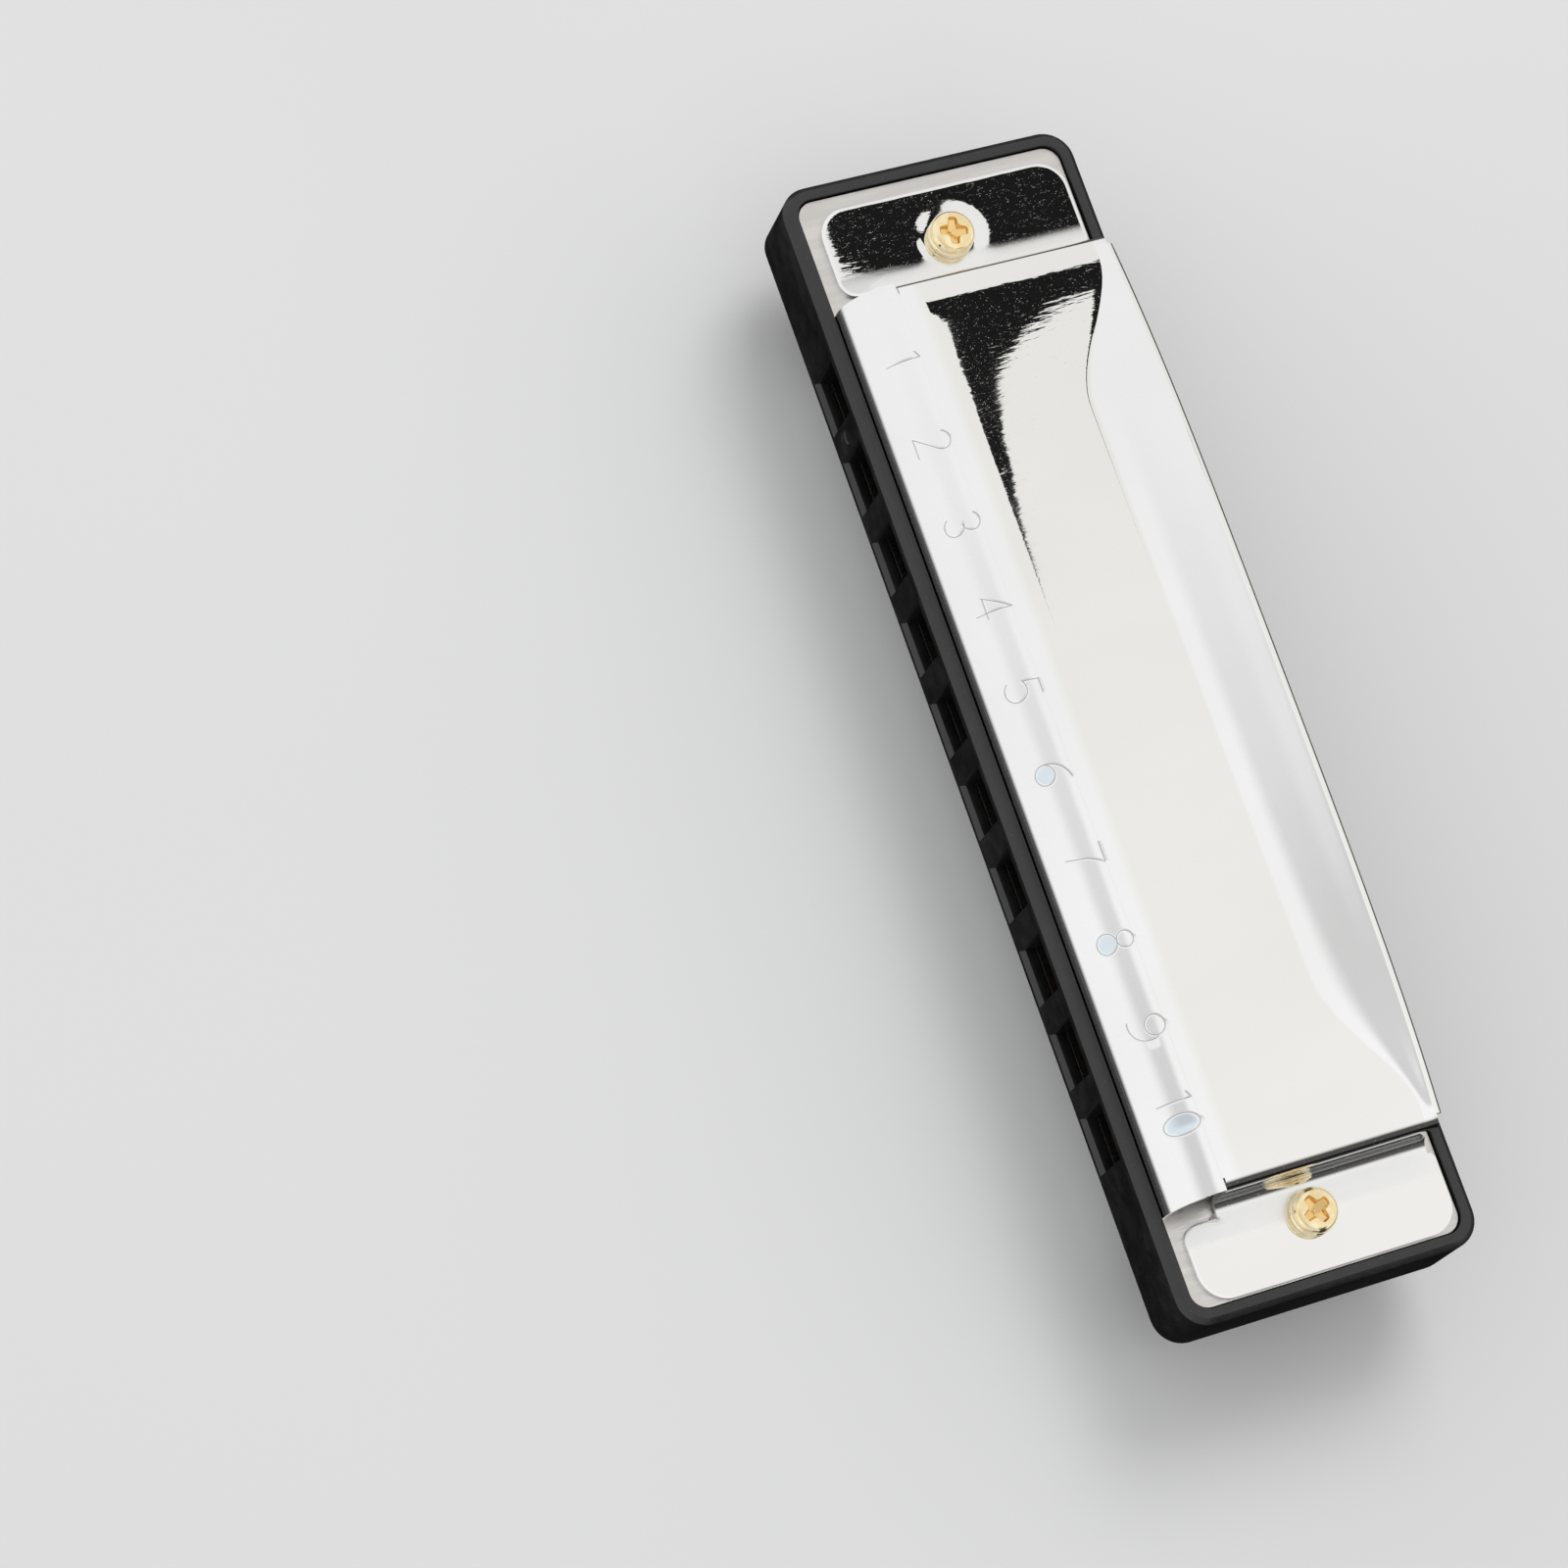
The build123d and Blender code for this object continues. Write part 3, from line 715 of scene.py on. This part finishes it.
def rounded_distance(x, y, low, high, radius):
    """Distance inside a rectangle with rounded corners, negative outside."""
    cx, cy = (low[0] + high[0]) / 2, (low[1] + high[1]) / 2
    qx = np.abs(x - cx) - ((high[0] - low[0]) / 2 - radius)
    qy = np.abs(y - cy) - ((high[1] - low[1]) / 2 - radius)
    outside = np.hypot(np.maximum(qx, 0), np.maximum(qy, 0)) + np.minimum(np.maximum(qx, qy), 0) - radius
    return -outside


INNER_FRONT_CORNER = 1.5
ROLL_WIDTH = 0.2
ROLL_DROP = 0.03
DISH_DEPTH = 0.046
DISH_WIDTH = 1.5
DISH_CREASE = 166.0
HOLE_RADIUS = 1.2
SCREW_HEAD = 2.0


def flange_height(x, y, side):
    outer = FLANGE_X[side]
    front_y, back_y = FLANGE_Y[side]
    inner_stretch = 6.0
    if side < 0:
        wide_low, wide_high = (outer[0], front_y), (outer[1] + inner_stretch, back_y)
    else:
        wide_low, wide_high = (outer[0] - inner_stretch, front_y), (outer[1], back_y)
    distance = rounded_distance(x, y, wide_low, wide_high, 2.6)
    tight = rounded_distance(x, y, (outer[0], front_y), (outer[1], back_y + 8), INNER_FRONT_CORNER)
    front = y < TOP_FRONT_Y + NOSE_SLIT - 0.1
    distance = np.where(front, np.minimum(distance, tight), distance)
    roll = ROLL_DROP * np.clip(1 - distance / ROLL_WIDTH, 0, 1) ** 2
    r = np.hypot(x - SCREW_X[side], y)
    dish = DISH_DEPTH * np.exp(-((np.maximum(r - SCREW_HEAD + 0.3, 0) / DISH_WIDTH) ** 2))
    turn = np.arctan2(y, x - SCREW_X[side]) - radians(DISH_CREASE)
    turn = np.arctan2(np.sin(turn), np.cos(turn))
    dish = dish * (1 - 0.4 * np.exp(-((turn / 1.2) ** 2)))
    out = np.abs(x - (outer[1] if side < 0 else outer[0])) + BEND_STRIP
    return FLANGE_TOP - roll - dish * smooth(out / 1.4) + np.where(front, 0.0, bend_lift(out, side))


def flange_outline(side):
    """Points round the flange: round outer and front corners, a nearly square one by the bend's back."""
    low_x, high_x = FLANGE_X[side]
    front_y, back_y = FLANGE_Y[side]
    corners = [
        (low_x, front_y, 2.6 if side < 0 else INNER_FRONT_CORNER, 180),
        (high_x, front_y, 2.6 if side > 0 else INNER_FRONT_CORNER, 270),
        (high_x, back_y, 2.6 if side > 0 else 0.6, 0),
        (low_x, back_y, 2.6 if side < 0 else 0.6, 90),
    ]
    outline = []
    for x, y, radius, start in corners:
        cx = x + radius * (1 if x == low_x else -1)
        cy = y + radius * (1 if y == front_y else -1)
        for a in np.radians(np.linspace(start, start + 90, 15)):
            outline.append((cx + radius * cos(a), cy + radius * sin(a)))
    full = []
    for (ax, ay), (bx, by) in zip(outline, outline[1:] + outline[:1]):
        length = ((bx - ax) ** 2 + (by - ay) ** 2) ** 0.5
        count = max(1, int(length / 0.35))
        for i in range(count):
            full.append((ax + (bx - ax) * i / count, ay + (by - ay) * i / count))
    return np.array(full)


def flange(parts, side):
    outline = flange_outline(side)
    centre = np.array([SCREW_X[side], 0.0])
    toward = centre - outline
    length = np.hypot(toward[:, 0], toward[:, 1])
    unit = toward / length[:, None]
    near = [0.0, 0.05, 0.12, 0.2, 0.3, 0.42, 0.55, 0.7]
    rings = [outline + unit * d for d in near]
    inner_start = outline + unit * near[-1]
    hole = centre - unit * HOLE_RADIUS
    for t in 1 - (1 - np.linspace(0, 1, 22)[1:]) ** 1.7:
        rings.append(inner_start + (hole - inner_start) * t)
    grid = np.zeros((len(rings), len(outline), 3))
    for r, ring in enumerate(rings):
        grid[r, :, :2] = ring
        grid[r, :, 2] = flange_height(ring[:, 0], ring[:, 1], side)
    parts.add_grid(grid, closed=True)


def cover(name, cad_node, turned, stamped):
    parts = Parts()
    raised_part(parts, stamped)
    flange(parts, -1)
    flange(parts, 1)
    if turned:
        parts.points = [[x, y, -z] for x, y, z in parts.points]
    obj = parts.build(name, "stamp", weld=2e-6)
    # Every face of the sheet looks out, away from the comb
    bm = bmesh.new()
    bm.from_mesh(obj.data)
    bm.faces.ensure_lookup_table()
    wrong = []
    for face in bm.faces:
        face.normal_update()
        centre = face.calc_center_median()
        out_z = -1.0 if turned else 1.0
        out = Vector((0, 0, out_z))
        if abs(face.normal.z) < 0.3:
            out = Vector((centre.x - COVER_OFFSET * MM, 0, 0))
            if abs(face.normal.y) > abs(face.normal.x):
                out = Vector((0, centre.y, 0))
        if face.normal.dot(out) < 0:
            wrong.append(face)
    bmesh.ops.reverse_faces(bm, faces=wrong)
    bm.to_mesh(obj.data)
    bm.free()
    solid = obj.modifiers.new("sheet", "SOLIDIFY")
    solid.thickness = SHEET * MM
    solid.offset = -1.0
    solid.use_even_offset = False
    solid.use_rim = True
    apply_modifiers(obj)
    obj.data.shade_smooth()
    mark_sharp(obj, 50)
    finish_piece(obj, "cover_chrome", cad_nodes=[cad_node])


def mark_sharp(obj, degrees):
    """Keeps edges sharper than this angle crisp under smooth shading."""
    bm = bmesh.new()
    bm.from_mesh(obj.data)
    limit = radians(degrees)
    for edge in bm.edges:
        if len(edge.link_faces) == 2 and edge.calc_face_angle(0.0) > limit:
            edge.smooth = False
    bm.to_mesh(obj.data)
    bm.free()


cover("top_cover_sheet", "top_cover", turned=False, stamped=True)
cover("bottom_cover_sheet", "bottom_cover", turned=True, stamped=False)


# ---------------------------------------------------------------- screws

HEAD_PROFILE = [
    (1.02, 0.0),
    (1.95, 0.0),
    (2.0, 0.06),
    (2.0, 0.40),
    (1.95, 0.46),
    (1.82, 0.50),
    (1.80, 0.56),
    (1.86, 0.62),
    (1.93, 0.68),
    (1.95, 0.85),
    (1.93, 1.02),
    (1.86, 1.18),
    (1.75, 1.30),
    (1.62, 1.38),
]
CROSS_TURN = {-1: -12.0, 1: 24.0}


def ring_points(x, y, radius, turns, z):
    """A circle of points about (x, y), all at height z."""
    return np.stack([x + radius * np.cos(turns), y + radius * np.sin(turns), np.full_like(turns, z)], -1)


def cover_screw(side):
    parts = Parts()
    turns = np.linspace(0, 2 * pi, 144, endpoint=False)
    base = FLANGE_TOP

    def ring(radius, height):
        return ring_points(SCREW_X[side], 0.0, radius, turns, base + height)

    wall = np.stack([ring(r, h) for r, h in HEAD_PROFILE])
    parts.add_grid(wall, closed=True)
    # Domed top with the tapered cross recess
    radii = np.concatenate([np.linspace(1.62, 1.3, 6), np.arange(1.26, 0.04, -0.045)])
    grid = np.zeros((len(radii), len(turns), 3))
    marks = np.zeros((len(radii), len(turns)))
    tilt = radians(CROSS_TURN[side])
    for r, radius in enumerate(radii):
        u = radius * np.cos(turns - tilt)
        v = radius * np.sin(turns - tilt)
        near, far = np.minimum(abs(u), abs(v)), np.maximum(abs(u), abs(v))
        width = 0.50 - 0.17 * far
        inside = smooth((width - near) / 0.16 + 0.5) * smooth((1.26 - far) / 0.16)
        centre = smooth((0.78 - np.hypot(u, v)) / 0.3)
        inside = np.maximum(inside, centre * 0.9)
        depth = (0.34 + 0.56 * np.clip(1 - far / 1.22, 0, 1)) * inside
        dome = 1.55 - 0.17 * (radius / 1.62) ** 2
        grid[r] = ring(radius, 0)
        grid[r, :, 2] = base + dome - depth
        marks[r] = inside
    parts.add_grid(grid, closed=True, values=marks)
    # Threaded shank down to the nut's outer face
    foot = -(PLATE_TOP + SHEET + 1.6)
    heights = np.arange(foot, base + 0.01, 0.075)
    around = np.linspace(0, 2 * pi, 36, endpoint=False)
    shank = np.zeros((len(heights), len(around), 3))
    pitch = 0.45
    for r, z in enumerate(heights):
        phase = ((z - foot) / pitch - around / (2 * pi)) % 1.0
        tooth = 1 - np.abs(2 * phase - 1)
        fade = min(1.0, (z - foot) / 0.3)
        radius = 0.84 + 0.14 * tooth * fade
        shank[r] = ring_points(SCREW_X[side], 0.0, radius, around, z)
    parts.add_grid(shank, closed=True)
    parts.add_fan((SCREW_X[side], 0, foot), shank[0], flip=True)
    parts.add_fan((SCREW_X[side], 0, grid[-1, :, 2].mean()), grid[-1])
    parts.add_fan((SCREW_X[side], 0, shank[-1, 0, 2]), shank[-1])
    obj = parts.build("cover_screw_hole_1_end" if side < 0 else "cover_screw_hole_10_end", "stamp", weld=1e-6)
    face_outward(obj)
    mark_sharp(obj, 55)
    finish_piece(obj, "screw_brass", cad_nodes=["cover_screws"])


for side in (-1, 1):
    cover_screw(side)


# ---------------------------------------------------------------- reeds

BASE_Y = (-9.95, -6.95)
ROOT_Y = -6.92
BASE_HALF = 1.5
RIVET_Y = -8.45
RIVET_HOLE_RADIUS = 0.63
REED_LENGTHS = {"blow": (16.5, 9.0), "draw": (16.0, 9.4)}
REED_WIDTH = 2.2
REED_NARROWING = 0.3
BEND_LENGTH = 2.2


def reed(name, side, hole):
    """One brass strip: riveted base, rounded neck and a filed tongue."""
    lengths = REED_LENGTHS[side]
    share = (hole - 1) / 9
    length = lengths[0] + (lengths[1] - lengths[0]) * share
    half = (REED_WIDTH - REED_NARROWING * share) / 2
    face = CORE_HALF if side == "blow" else -PLATE_TOP
    tip = ROOT_Y + length
    ys = np.concatenate(
        [
            [BASE_Y[0], BASE_Y[0] + 0.04, BASE_Y[0] + 0.12, BASE_Y[0] + 0.25, BASE_Y[0] + 0.4],
            np.linspace(BASE_Y[0] + 0.7, BASE_Y[1] - 0.45, 6),
            np.linspace(BASE_Y[1] - 0.35, ROOT_Y - 0.02, 7),
            np.linspace(ROOT_Y + 0.1, tip - 0.25, 34),
            [tip - 0.16, tip - 0.08, tip - 0.03, tip],
        ]
    )
    rows = []
    for y in ys:
        if y < ROOT_Y:
            width = BASE_HALF
            front = y - BASE_Y[0]
            if front < 0.4:
                # Known fault: at front = 0 the root's number rounds to below zero, and the width is NaN.
                width = BASE_HALF - 0.4 + (0.16 - (0.4 - front) ** 2) ** 0.5
            back = ROOT_Y - y
            if back < 0.33:
                width = half + (BASE_HALF - half) * smooth(back / 0.33)
        else:
            width = half - 0.03 * (y - ROOT_Y) / length
            if tip - y < 0.16:
                width -= 0.16 - (max(0.0, 0.16**2 - (0.16 - (tip - y)) ** 2)) ** 0.5
        along = np.clip((y - ROOT_Y) / length, 0, 1)
        if y < ROOT_Y - 0.25:
            thick = 0.25
        elif y < ROOT_Y:
            thick = 0.25 - 0.05 * float(smooth((y - ROOT_Y + 0.25) / 0.25))
        else:
            dip = 0.07 if hole < 5 else 0.04
            thick = 0.2 - dip * float(np.sin(pi * along) ** 2)
            if hole >= 5:
                thick -= 0.03 * along
        rows.append((y, width, thick))
    parts = Parts()
    across = np.array([-1.0, -0.94, -0.5, 0.0, 0.5, 0.94, 1.0])
    round_edge = np.array([0.03, 0.0, 0.0, 0.0, 0.0, 0.0, 0.03])
    loop = []
    for y, width, thick in rows:
        x = hole_x(hole) + across * width
        top = np.stack([x, np.full_like(x, y), face - round_edge], -1)
        low = np.stack([x, np.full_like(x, y), face - thick + round_edge], -1)
        loop.append(np.concatenate([top, low[::-1]]))
    grid = np.array(loop)
    parts.add_grid(grid, closed=True)
    for end in (0, -1):
        ring = grid[end]
        parts.add_fan(ring.mean(0), ring, flip=end == 0)
    obj = parts.build(name, weld=1e-8)
    face_outward(obj)
    cut_rivet_hole(obj, hole_x(hole), face)
    mark_sharp(obj, 35)
    body = f"{side}_reed_{hole}"
    finish_piece(obj, "reed_brass", body=None, cad_nodes=[body, f"{side}_reed_bases"])
    z = (face + MIDDLE_Z) * MM
    x = hole_x(hole) * MM
    end = (x, (ROOT_Y + BEND_LENGTH) * MM, z)
    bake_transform(obj)


def cut_rivet_hole(obj, x, face):
    turns = np.linspace(0, 2 * pi, 32, endpoint=False)
    cutter = Parts()
    rings = []
    for z in (face - 0.6, face + 0.4):
        rings.append(ring_points(x, RIVET_Y, RIVET_HOLE_RADIUS, turns, z))
    cutter.add_grid(np.array(rings), closed=True)
    cutter.add_fan((x, RIVET_Y, face - 0.6), rings[0], flip=True)
    cutter.add_fan((x, RIVET_Y, face + 0.4), rings[1])
    tool = cutter.build("rivet_hole_tool", weld=1e-8)
    cut = obj.modifiers.new("hole", "BOOLEAN")
    cut.operation = "DIFFERENCE"
    cut.solver = "EXACT"
    cut.object = tool
    apply_modifiers(obj)
    bpy.data.objects.remove(tool)


for hole in HOLES:
    reed(f"blow_reed_strip_{hole}", "blow", hole)
    reed(f"draw_reed_strip_{hole}", "draw", hole)


# ---------------------------------------------------------------- comb


def box_tool(corners):
    """A closed box from eight corners: the four of one end, then the four of the other."""
    faces = [(0, 1, 2, 3), (7, 6, 5, 4), (0, 4, 5, 1), (1, 5, 6, 2), (2, 6, 7, 3), (3, 7, 4, 0)]
    obj = mesh_object("comb_tool", corners, faces, flat=True)
    face_outward(obj)
    return obj


def comb_piece():
    """The moulding with its flared mouth holes, a gate mark and softened edges."""
    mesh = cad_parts["comb"].data.copy()
    obj = bpy.data.objects.new("comb_moulding", mesh)
    bpy.context.scene.collection.objects.link(obj)
    bm = bmesh.new()
    bm.from_mesh(mesh)
    bmesh.ops.remove_doubles(bm, verts=bm.verts, dist=1e-6)
    bmesh.ops.dissolve_limit(bm, angle_limit=radians(0.5), verts=bm.verts, edges=bm.edges)
    bm.to_mesh(mesh)
    bm.free()
    front = -13.5
    tools = bpy.data.collections.new("comb_tools")
    bpy.context.scene.collection.children.link(tools)
    made = []
    for hole in HOLES:
        x = hole_x(hole)
        half = 2.35
        outer = (
            (x - half - 0.16, front - 0.02, -CORE_HALF - 0.4),
            (x + half + 0.16, front - 0.02, -CORE_HALF - 0.4),
            (x + half + 0.16, front - 0.02, CORE_HALF + 0.1),
            (x - half - 0.16, front - 0.02, CORE_HALF + 0.1),
        )
        inner = (
            (x - half + 0.01, front + 0.42, -CORE_HALF + 0.01),
            (x + half - 0.01, front + 0.42, -CORE_HALF + 0.01),
            (x + half - 0.01, front + 0.42, CORE_HALF - 0.01),
            (x - half + 0.01, front + 0.42, CORE_HALF - 0.01),
        )
        made.append(box_tool(outer + inner))
    turns = np.linspace(0, 2 * pi, 24, endpoint=False)
    mark_x = (hole_x(1) + hole_x(2)) / 2
    gate = Parts()
    rings = []
    for radius, y in ((0.75, front - 0.1), (0.7, front + 0.12)):
        across = mark_x + radius * np.cos(turns)
        up = 0.2 + radius * np.sin(turns)
        rings.append(np.stack([across, np.full_like(turns, y), up], -1))
    gate.add_grid(np.array(rings), closed=True)
    gate.add_fan((mark_x, front - 0.1, 0.2), rings[0], flip=True)
    gate.add_fan((mark_x, front + 0.12, 0.2), rings[1])
    gate_tool = gate.build("gate_tool", weld=1e-8)
    face_outward(gate_tool)
    made.append(gate_tool)
    for tool in made:
        bpy.context.scene.collection.objects.unlink(tool)
        tools.objects.link(tool)
    cut = obj.modifiers.new("mouths", "BOOLEAN")
    cut.operation = "DIFFERENCE"
    cut.operand_type = "COLLECTION"
    cut.solver = "EXACT"
    cut.collection = tools
    edge = obj.modifiers.new("edges", "BEVEL")
    edge.width = 0.11 * MM
    edge.segments = 2
    edge.limit_method = "ANGLE"
    edge.angle_limit = radians(25)
    edge.harden_normals = False
    apply_modifiers(obj)
    for tool in made:
        bpy.data.objects.remove(tool)
    bpy.data.collections.remove(tools)
    obj.data.shade_smooth()
    mark_sharp(obj, 30)
    finish_piece(obj, "comb_plastic", cad_nodes=["comb"])


comb_piece()


# ---------------------------------------------------------------- carried-over CAD nodes


def dress_node(name, slot, bevel, segments=2):
    """A CAD node shown as it is, with its own material and softened edges."""
    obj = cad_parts[name]
    obj.data.materials.clear()
    obj.data.materials.append(MATERIALS[slot])
    weld = obj.modifiers.new("weld", "WELD")
    weld.merge_threshold = 1e-6
    flat = obj.modifiers.new("flat", "DECIMATE")
    flat.decimate_type = "DISSOLVE"
    flat.angle_limit = radians(0.5)
    edge = obj.modifiers.new("edges", "BEVEL")
    edge.width = bevel * MM
    edge.segments = segments
    edge.limit_method = "ANGLE"
    edge.angle_limit = radians(35)


dress_node("blow_reed_plate", "plate_metal", 0.05)
dress_node("draw_reed_plate", "plate_metal", 0.05)
dress_node("blow_reed_rivets", "rivet_brass", 0.12, 3)
dress_node("draw_reed_rivets", "rivet_brass", 0.12, 3)
dress_node("cover_nuts", "screw_brass", 0.12, 2)
dress_node("blow_plate_screws", "plate_screw_steel", 0.12, 3)
dress_node("draw_plate_screws", "plate_screw_steel", 0.12, 3)


# ---------------------------------------------------------------- studio

FLOOR_SIZE = 9.0


def floor():
    n = 24
    line = np.linspace(-FLOOR_SIZE, FLOOR_SIZE, n)
    x, y = np.meshgrid(line, line)
    mesh = bpy.data.meshes.new("studio_floor")
    points = np.stack([x, y, np.full_like(x, -0.00002)], -1).reshape(-1, 3)
    mesh.from_pydata(points.tolist(), [], grid_faces(n, n))
    mesh.update()
    obj = bpy.data.objects.new("studio_floor", mesh)
    bpy.context.scene.collection.objects.link(obj)
    material, tree, shader = nodes_of("studio_floor_paper")
    tone = spread(tree, noise(tree, (0.004, 0.004, 0.004), 3.0), 0.3, 0.7, 0.0, 1.0)
    link(tree, mix_colour(tree, tone, (0.60, 0.60, 0.60), (0.63, 0.63, 0.63)), shader.inputs["Base Color"])
    shader.inputs["Roughness"].default_value = 0.9
    shader.inputs["Specular IOR Level"].default_value = 0.1
    obj.data.materials.append(material)
    obj.visible_glossy = False


floor()

# The dark studio shape that the polished metal mirrors, as a flat card far above the table. Its
# outline is in slopes: how far along X and Y for each metre up.
DARK_CARD = [
    (-0.3850, 0.3785),
    (-0.3610, 0.3787),
    (-0.3577, 0.3832),
    (-0.3500, 0.3940),
    (-0.3457, 0.3974),
    (-0.3167, 0.3967),
    (-0.2904, 0.3963),
    (-0.2667, 0.3960),
    (-0.2746, 0.3963),
    (-0.2825, 0.3971),
    (-0.2904, 0.3975),
    (-0.2983, 0.3986),
    (-0.3062, 0.4002),
    (-0.3141, 0.4010),
    (-0.3194, 0.4026),
    (-0.3246, 0.4038),
    (-0.3273, 0.4050),
    (-0.3299, 0.4065),
    (-0.3325, 0.4105),
    (-0.3352, 0.4132),
    (-0.3378, 0.4196),
    (-0.3404, 0.4247),
    (-0.3418, 0.4310),
    (-0.3430, 0.4360),
    (-0.3450, 0.4500),
    (-0.3850, 0.4500),
]
CARD_HEIGHT = 20.0


def emission_card(name, points, strength):
    mesh = bpy.data.meshes.new(name)
    mesh.from_pydata(points, [], [list(range(len(points)))])
    mesh.update()
    obj = bpy.data.objects.new(name, mesh)
    bpy.context.scene.collection.objects.link(obj)
    material = bpy.data.materials.new(name)
    material.use_nodes = True
    tree = material.node_tree
    tree.nodes.clear()
    output = tree.nodes.new("ShaderNodeOutputMaterial")
    glow = tree.nodes.new("ShaderNodeEmission")
    glow.inputs["Strength"].default_value = strength
    link(tree, glow.outputs[0], output.inputs["Surface"])
    obj.data.materials.append(material)
    obj.visible_camera = False
    obj.visible_diffuse = False
    obj.visible_shadow = False


DARK_CARD_GLOW = 0.012
dark_card_points = [(a * CARD_HEIGHT, b * CARD_HEIGHT, CARD_HEIGHT) for a, b in DARK_CARD]
emission_card("studio_dark_card", dark_card_points, DARK_CARD_GLOW)


def studio_world():
    """Soft white surroundings, a little darker low down on the +X side and near the horizon."""
    world = bpy.data.worlds.new("studio")
    bpy.context.scene.world = world
    world.use_nodes = True
    tree = world.node_tree
    background = tree.nodes["Background"]
    coord = tree.nodes.new("ShaderNodeTexCoord")
    split = tree.nodes.new("ShaderNodeSeparateXYZ")
    link(tree, coord.outputs["Generated"], split.inputs[0])
    x, y, z = split.outputs
    toward_mouth = spread(tree, y, -0.05, -0.7, 0.0, 0.72)
    low = spread(tree, combine(tree, "ADD", z, toward_mouth), -0.08, 0.16, 0.10, 1.0)
    low = combine(tree, "MULTIPLY", low, spread(tree, z, -0.78, -0.5, 0.12, 1.0))
    side = combine(
        tree, "MULTIPLY", spread(tree, x, 0.08, 0.58, 0.0, 0.92), spread(tree, z, 0.95, 0.62, 0.0, 1.0)
    )
    side_band = combine(
        tree, "MULTIPLY", spread(tree, y, 0.06, 0.2, 0.0, 1.0), spread(tree, y, 0.54, 0.40, 0.0, 1.0)
    )
    side = combine(tree, "SUBTRACT", 1.0, combine(tree, "MULTIPLY", side, side_band))
    warm_side = spread(tree, x, -0.32, -0.08, 0.935, 1.0)
    front = spread(tree, y, 0.345, 0.30, 0.0, 1.0)
    lift = combine(tree, "ADD", 1.0, combine(tree, "MULTIPLY", front, 0.07))
    above = spread(tree, y, 0.16, -0.10, 0.0, 1.0)
    below = spread(tree, y, -0.80, -0.35, 0.0, 1.0)
    right = spread(tree, x, -0.32, -0.12, 0.0, 1.0)
    band = combine(tree, "MULTIPLY", combine(tree, "MULTIPLY", above, below), right)
    band = combine(tree, "SUBTRACT", 1.0, combine(tree, "MULTIPLY", band, 0.30))
    total = combine(tree, "MULTIPLY", low, side)
    for factor in (warm_side, lift, band):
        total = combine(tree, "MULTIPLY", total, factor)
    tint = mix_colour(tree, front, (1.0, 0.993, 0.975), (0.985, 0.992, 1.0))
    link(tree, tint, background.inputs["Color"])
    link(tree, total, background.inputs["Strength"])


studio_world()


def soft_light(name, place, target, size, power):
    light = bpy.data.lights.new(name, "AREA")
    light.shape = "SQUARE"
    light.size = size
    light.energy = power
    obj = bpy.data.objects.new(name, light)
    bpy.context.scene.collection.objects.link(obj)
    obj.location = place
    obj.rotation_euler = (Vector(target) - Vector(place)).to_track_quat("-Z", "Y").to_euler()
    obj.visible_glossy = False


soft_light("studio_key", (-0.55, 0.35, 0.9), (0, 0, 0), 0.55, 5.0)


def studio_camera():
    data = bpy.data.cameras.new("camera")
    data.lens = 118.0
    data.sensor_width = 36.0
    obj = bpy.data.objects.new("camera", data)
    bpy.context.scene.collection.objects.link(obj)
    right, down, view = CAMERA_AXES
    turn = Matrix((right, [-v for v in down], [-v for v in view])).transposed()
    place = Vector(CAMERA_PLACE)
    place.z += COMB_BOX[1].z
    obj.matrix_world = Matrix.Translation(place) @ turn.to_4x4()
    bpy.context.scene.camera = obj


# Right, down and forward of the view, and its place above the comb's rim
CAMERA_AXES = (
    (0.323506, 0.920162, 0.220559),
    (0.917549, -0.248109, -0.310719),
    (-0.231189, 0.302893, -0.924558),
)
CAMERA_PLACE = (0.095302, -0.156617, 0.385771)
studio_camera()

scene = bpy.context.scene
scene.view_settings.view_transform = "Standard"
scene.view_settings.look = "None"
